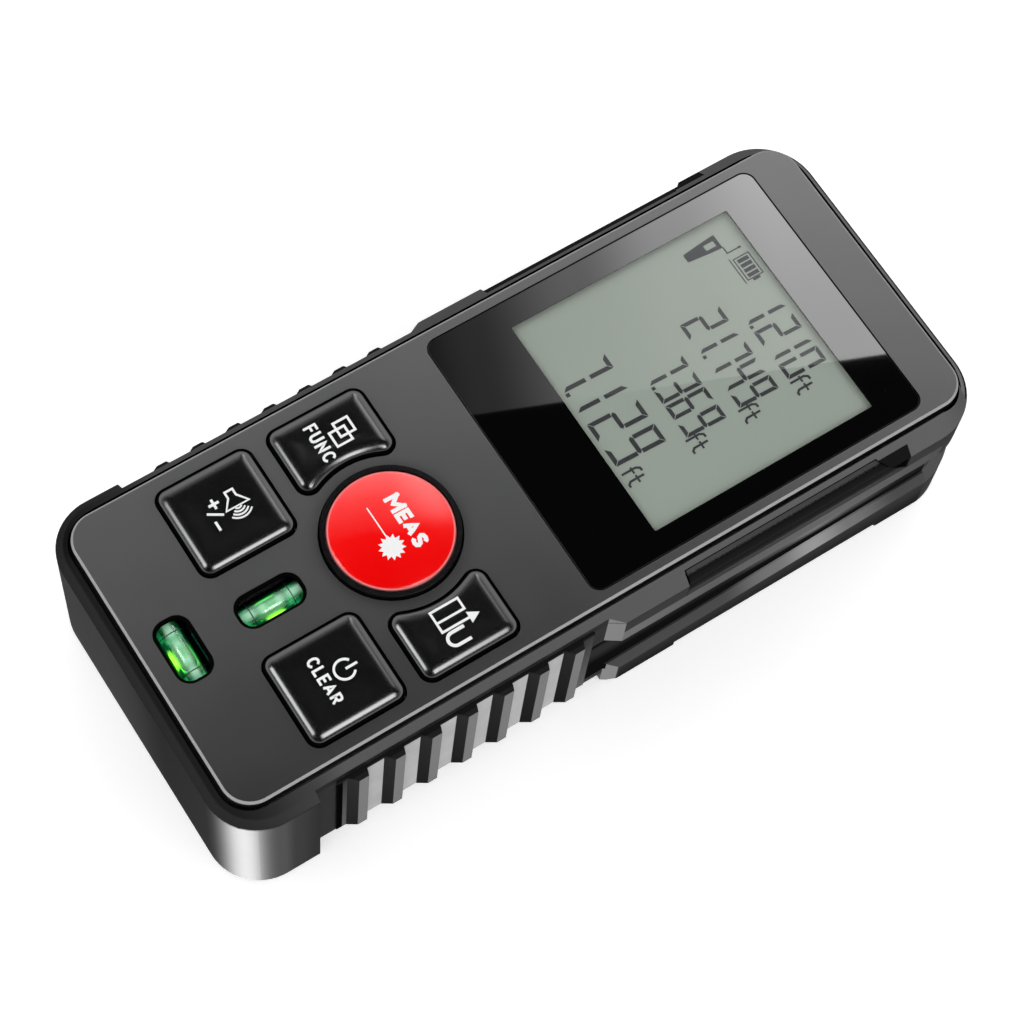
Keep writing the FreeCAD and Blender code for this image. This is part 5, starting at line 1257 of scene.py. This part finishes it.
for axis, c, node_, bub in (("y", LONG_Y, "long_vial", "long_bubble"), ("x", CROSS_Y, "cross_vial", "cross_bubble")):
    tag = node_.split("_")[0]
    VZ_OFF = VZ
    bm = bmesh.new()
    h = VL / 2
    # outer glass: rounded shoulders, open bore kept so that the wall has thickness
    prof = [(VB + 0.02, -h), (VR - 0.25, -h), (VR - 0.07, -h + 0.07), (VR, -h + 0.25), (VR, h - 0.25), (VR - 0.07, h - 0.07),
            (VR - 0.25, h), (VB + 0.02, h), (VB + 0.02, -h)]
    tube(bm, prof, axis, c, 64)
    bmesh.ops.remove_doubles(bm, verts=bm.verts, dist=1e-7)
    o = add(tag + "_vial_glass", bm, vial_tube_material(axis), "housing", angle=35)
    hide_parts(node_)
    # green fluid, glowing by emission as painted light: a lining of the bore, open at the top where the bubble runs
    bm = bmesh.new()
    hl, ro, ri = h - 0.95, VB - 0.02, VB - 0.11
    NA_, NS = 40, 24
    angs = [math.radians(-215 + 250 * i / NA_) for i in range(NA_ + 1)]

    def vp(rad, a_, s_):
        u, w = rad * math.cos(a_), VZ + rad * math.sin(a_)
        return ((u * MM, (c + s_) * MM, w * MM) if axis == "y" else (s_ * MM, (c + u) * MM, w * MM))
    st = [-hl + 2 * hl * i / NS for i in range(NS + 1)]
    O = [[bm.verts.new(vp(ro, a_, q)) for a_ in angs] for q in st]
    I = [[bm.verts.new(vp(ri, a_, q)) for a_ in angs] for q in st]
    for i in range(NS):
        for j in range(NA_):
            bm.faces.new((O[i][j], O[i + 1][j], O[i + 1][j + 1], O[i][j + 1]))
            bm.faces.new((I[i][j], I[i][j + 1], I[i + 1][j + 1], I[i + 1][j]))
        bm.faces.new((O[i][0], I[i][0], I[i + 1][0], O[i + 1][0]))
        bm.faces.new((O[i][-1], O[i + 1][-1], I[i + 1][-1], I[i][-1]))
    for j in range(NA_):
        bm.faces.new((O[0][j], O[0][j + 1], I[0][j + 1], I[0][j]))
        bm.faces.new((O[-1][j], I[-1][j], I[-1][j + 1], O[-1][j + 1]))
    add(tag + "_vial_fluid", bm, vial_liquid_material(axis), "housing", angle=50)
    # black read lines round the glass
    bm = bmesh.new()
    for q in (-2.75, 2.75):
        tube(bm, [(VR + 0.002, q - 0.06), (VR + 0.03, q - 0.06), (VR + 0.03, q + 0.06), (VR + 0.002, q + 0.06),
                  (VR + 0.002, q - 0.06)], axis, c, 64)
    bmesh.ops.remove_doubles(bm, verts=bm.verts, dist=1e-7)
    add(tag + "_vial_lines", bm, M["readline"], "housing", angle=35)
    # moulded black bezel lining the opening of the face plate
    if axis == "y":
        X0, X1, Y0, Y1 = -2.4, 2.4, c - 4.6, c + 4.6
    else:
        X0, X1, Y0, Y1 = -4.5, 4.5, c - 2.5, c + 2.5
    bm = bmesh.new()
    rings = []
    for ins, z in ((0.0, 24.14), (0.0, FACE + 0.0), (0.03, FACE + 0.045), (0.09, FACE + 0.06), (0.17, FACE + 0.045),
                   (0.24, FACE - 0.02), (0.34, FACE - 0.14), (0.44, FACE - 0.30), (0.46, 24.14)):
        e = 0.004 + ins
        rings.append([bm.verts.new((x * MM, y * MM, z * MM)) for x, y in rrect(X0 + e, X1 - e, Y0 + e, Y1 - e, 2.0 - e, 14)])
    m_ = len(rings[0])
    for k in range(len(rings)):
        r0, r1_ = rings[k], rings[(k + 1) % len(rings)]
        for i in range(m_):
            j = (i + 1) % m_
            bm.faces.new((r0[i], r0[j], r1_[j], r1_[i]))
    add(tag + "_vial_bezel", bm, M["bezel"], "housing", angle=60)


# ======================================================================= stage and light
def quad(name, pts, mat):
    me = bpy.data.meshes.new(name)
    me.from_pydata(pts, [], [range(len(pts))])
    o = bpy.data.objects.new(name, me)
    scene.collection.objects.link(o)
    me.materials.append(mat)
    return o


def emitter(name, strength, col=(1, 1, 1), ramp=None, ramp_y=None):
    """Emission whose brightness may run along the card's own UV-free object X axis."""
    m = bpy.data.materials.new(name)
    m.use_nodes = True
    m.cycles.emission_sampling = "NONE"
    t = m.node_tree
    t.nodes.clear()
    e = t.nodes.new("ShaderNodeEmission")
    e.inputs["Color"].default_value = (*col, 1)
    e.inputs["Strength"].default_value = strength
    out = t.nodes.new("ShaderNodeOutputMaterial")
    t.links.new(e.outputs[0], out.inputs[0])
    if ramp:
        tc = t.nodes.new("ShaderNodeTexCoord")
        sp_ = t.nodes.new("ShaderNodeSeparateXYZ")
        t.links.new(tc.outputs["Object"], sp_.inputs[0])
        cr = t.nodes.new("ShaderNodeValToRGB")
        cr.color_ramp.interpolation = "EASE"
        el_ = cr.color_ramp.elements
        while len(el_) < len(ramp):
            el_.new(0.5)
        for q, (pos, v) in zip(el_, ramp):
            q.position = pos
            q.color = (v, v, v, 1)
        t.links.new(sp_.outputs["X"], cr.inputs["Fac"])
        mu = t.nodes.new("ShaderNodeMath")
        mu.operation = "MULTIPLY"
        mu.inputs[1].default_value = strength
        t.links.new(cr.outputs["Color"], mu.inputs[0])
        last = mu.outputs[0]
        if ramp_y:
            c2 = t.nodes.new("ShaderNodeValToRGB")
            c2.color_ramp.interpolation = "EASE"
            while len(c2.color_ramp.elements) < len(ramp_y):
                c2.color_ramp.elements.new(0.5)
            for q, (pos, v) in zip(c2.color_ramp.elements, ramp_y):
                q.position, q.color = pos, (v, v, v, 1)
            t.links.new(sp_.outputs["Y"], c2.inputs["Fac"])
            m2 = t.nodes.new("ShaderNodeMath")
            m2.operation = "MULTIPLY"
            t.links.new(last, m2.inputs[0])
            t.links.new(c2.outputs["Color"], m2.inputs[1])
            last = m2.outputs[0]
        t.links.new(last, e.inputs["Strength"])
    return m


def card(name, corners, strength, ramp=None, ramp_y=None, diffuse=False, col=(1, 1, 1)):
    """A reflector card given by 4 corners (m): object X runs 0..1 from corner 0 to corner 1."""
    p0, p1, p2, p3 = [Vector(p) for p in corners]
    ux, uy = p1 - p0, p3 - p0
    nrm = ux.cross(uy).normalized()
    mw = Matrix((ux, uy, nrm)).transposed().to_4x4()
    mw.translation = p0
    inv = mw.inverted()
    me = bpy.data.meshes.new(name)
    me.from_pydata([tuple(inv @ p) for p in (p0, p1, p2, p3)], [], [(0, 1, 2, 3)])
    o = bpy.data.objects.new(name, me)
    scene.collection.objects.link(o)
    o.matrix_world = mw
    me.materials.append(emitter(name, strength, col, ramp, ramp_y))
    o.visible_camera = False
    o.visible_shadow = False
    o.visible_diffuse = diffuse
    o.visible_transmission = False
    return o


fl = N("floor_pale", Specular_IOR_Level=0.2)
fm = fl.done(fl.ramp(fl.noise(6, 3), [(0.2, (0.86, 0.86, 0.86)), (0.8, (0.88, 0.88, 0.88))]), fl.remap(fl.noise(30, 3), 0.6, 0.7))
fl.p.inputs["Emission Color"].default_value = (1, 1, 1, 1)
fl.p.inputs["Emission Strength"].default_value = 0.42
fo = quad("floor", [(-3, -3, -0.0001), (3, -3, -0.0001), (3, 3, -0.0001), (-3, 3, -0.0001)], fm)
fo.visible_glossy = False

world = bpy.data.worlds.new("world")
scene.world = world
world.use_nodes = True
wt = world.node_tree
bg = wt.nodes["Background"]
bg.inputs[0].default_value = (1, 1, 1, 1)


def wmath(op, a, b=None, clamp=False):
    n = wt.nodes.new("ShaderNodeMath")
    n.operation, n.use_clamp = op, clamp
    for i, v in enumerate((a, b)):
        if v is None:
            continue
        if isinstance(v, (int, float)):
            n.inputs[i].default_value = v
        else:
            wt.links.new(v, n.inputs[i])
    return n.outputs[0]


def wramp(fac, stops, interp="EASE"):
    n = wt.nodes.new("ShaderNodeValToRGB")
    n.color_ramp.interpolation = interp
    e = n.color_ramp.elements
    while len(e) < len(stops):
        e.new(0.5)
    for q, (pos, v) in zip(e, stops):
        q.position, q.color = pos, (v, v, v, 1)
    wt.links.new(fac, n.inputs["Fac"])
    return n.outputs["Color"]


wd = wt.nodes.new("ShaderNodeTexCoord").outputs["Generated"]
wsep = wt.nodes.new("ShaderNodeSeparateXYZ")
wt.links.new(wd, wsep.inputs[0])
wx, wy, wz = wsep.outputs
# studio: dark overhead, bright band of soft light round the sides (heights are cosines from straight up)
upper = wmath("MULTIPLY", wramp(wz, [(0.0, 0.45), (0.25, 0.9), (0.60, 1.0), (0.76, 0.35), (0.86, 0.0)]), 2.1)
# below the table line the casing's flanks see a dark surround with one soft glow off the corner
hyp = wmath("POWER", wmath("ADD", wmath("MULTIPLY", wx, wx), wmath("ADD", wmath("MULTIPLY", wy, wy), 0.0001)), 0.5)
az_ = wmath("DIVIDE", wmath("ADD", wmath("MULTIPLY", wx, 0.44), wmath("MULTIPLY", wy, -0.90)), hyp)
glow = wmath("MULTIPLY", wramp(wmath("ADD", wmath("MULTIPLY", az_, 0.5), 0.5), [(0.0, 0.012), (0.72, 0.02), (0.88, 0.35), (1.0, 1.0)]), 5.0)
up_ = wmath("GREATER_THAN", wz, 0.0)
is_gloss = wt.nodes.new("ShaderNodeLightPath").outputs["Is Glossy Ray"]
upper = wmath("MULTIPLY", upper, wmath("SUBTRACT", 1.0, wmath("MULTIPLY", is_gloss, 0.40)))
wt.links.new(wmath("ADD", wmath("MULTIPLY", upper, up_), wmath("MULTIPLY", glow, wmath("SUBTRACT", 1.0, up_))), bg.inputs[1])

CAM = Vector((0.112758, -0.098338, 0.343376))


def mirror_of(x, y, dist, z=FACE):
    """Where, dist metres above the face plane, the camera sees (x, y) mm of the face reflected."""
    p = Vector((x * MM, y * MM, z * MM))
    d = p - CAM
    k = dist / abs(d.z)
    return Vector((p.x + d.x * k, p.y + d.y * k, p.z + dist))


# sweep card: its lower edge falls on the diagonal of the display lens, fading towards the keys
H = 0.5
a, b = mirror_of(-15.4, -20, H), mirror_of(17.5, 62.4, H)
far = Vector((-1.0, 0.40, 0)).normalized()
card("sweep_card", [a, b, b + far * 0.55, a + far * 0.55], 3.9,
     ramp=[(0.0, 0.0), (0.12, 0.0), (0.24, 0.06), (0.40, 0.26), (0.55, 0.62), (0.72, 0.92), (1.0, 1.0)],
     ramp_y=[(0.0, 0.50), (0.25, 0.80), (0.6, 1.0)])


def sky_card(name, c0, c1, y0, y1, strength, dist=0.9, **kw):
    """Card across directions x c0..c1, y y0..y1 (per unit height) seen from the keys."""
    o_ = Vector((0, -0.040, 0.0246))
    q = [o_ + Vector((x, y, 1.0)) * dist for x, y in ((c0, y0), (c1, y0), (c1, y1), (c0, y1))]
    return card(name, q, strength, **kw)


soft = [(0.0, 0.0), (0.25, 1.0), (0.75, 1.0), (1.0, 0.0)]
sky_card("overhead_card", 0.08, 0.52, 0.05, 0.34, 9.0, ramp=soft, ramp_y=soft)
sky_card("front_card", -0.48, -0.22, -0.62, -0.22, 9.0, ramp=soft, ramp_y=soft)
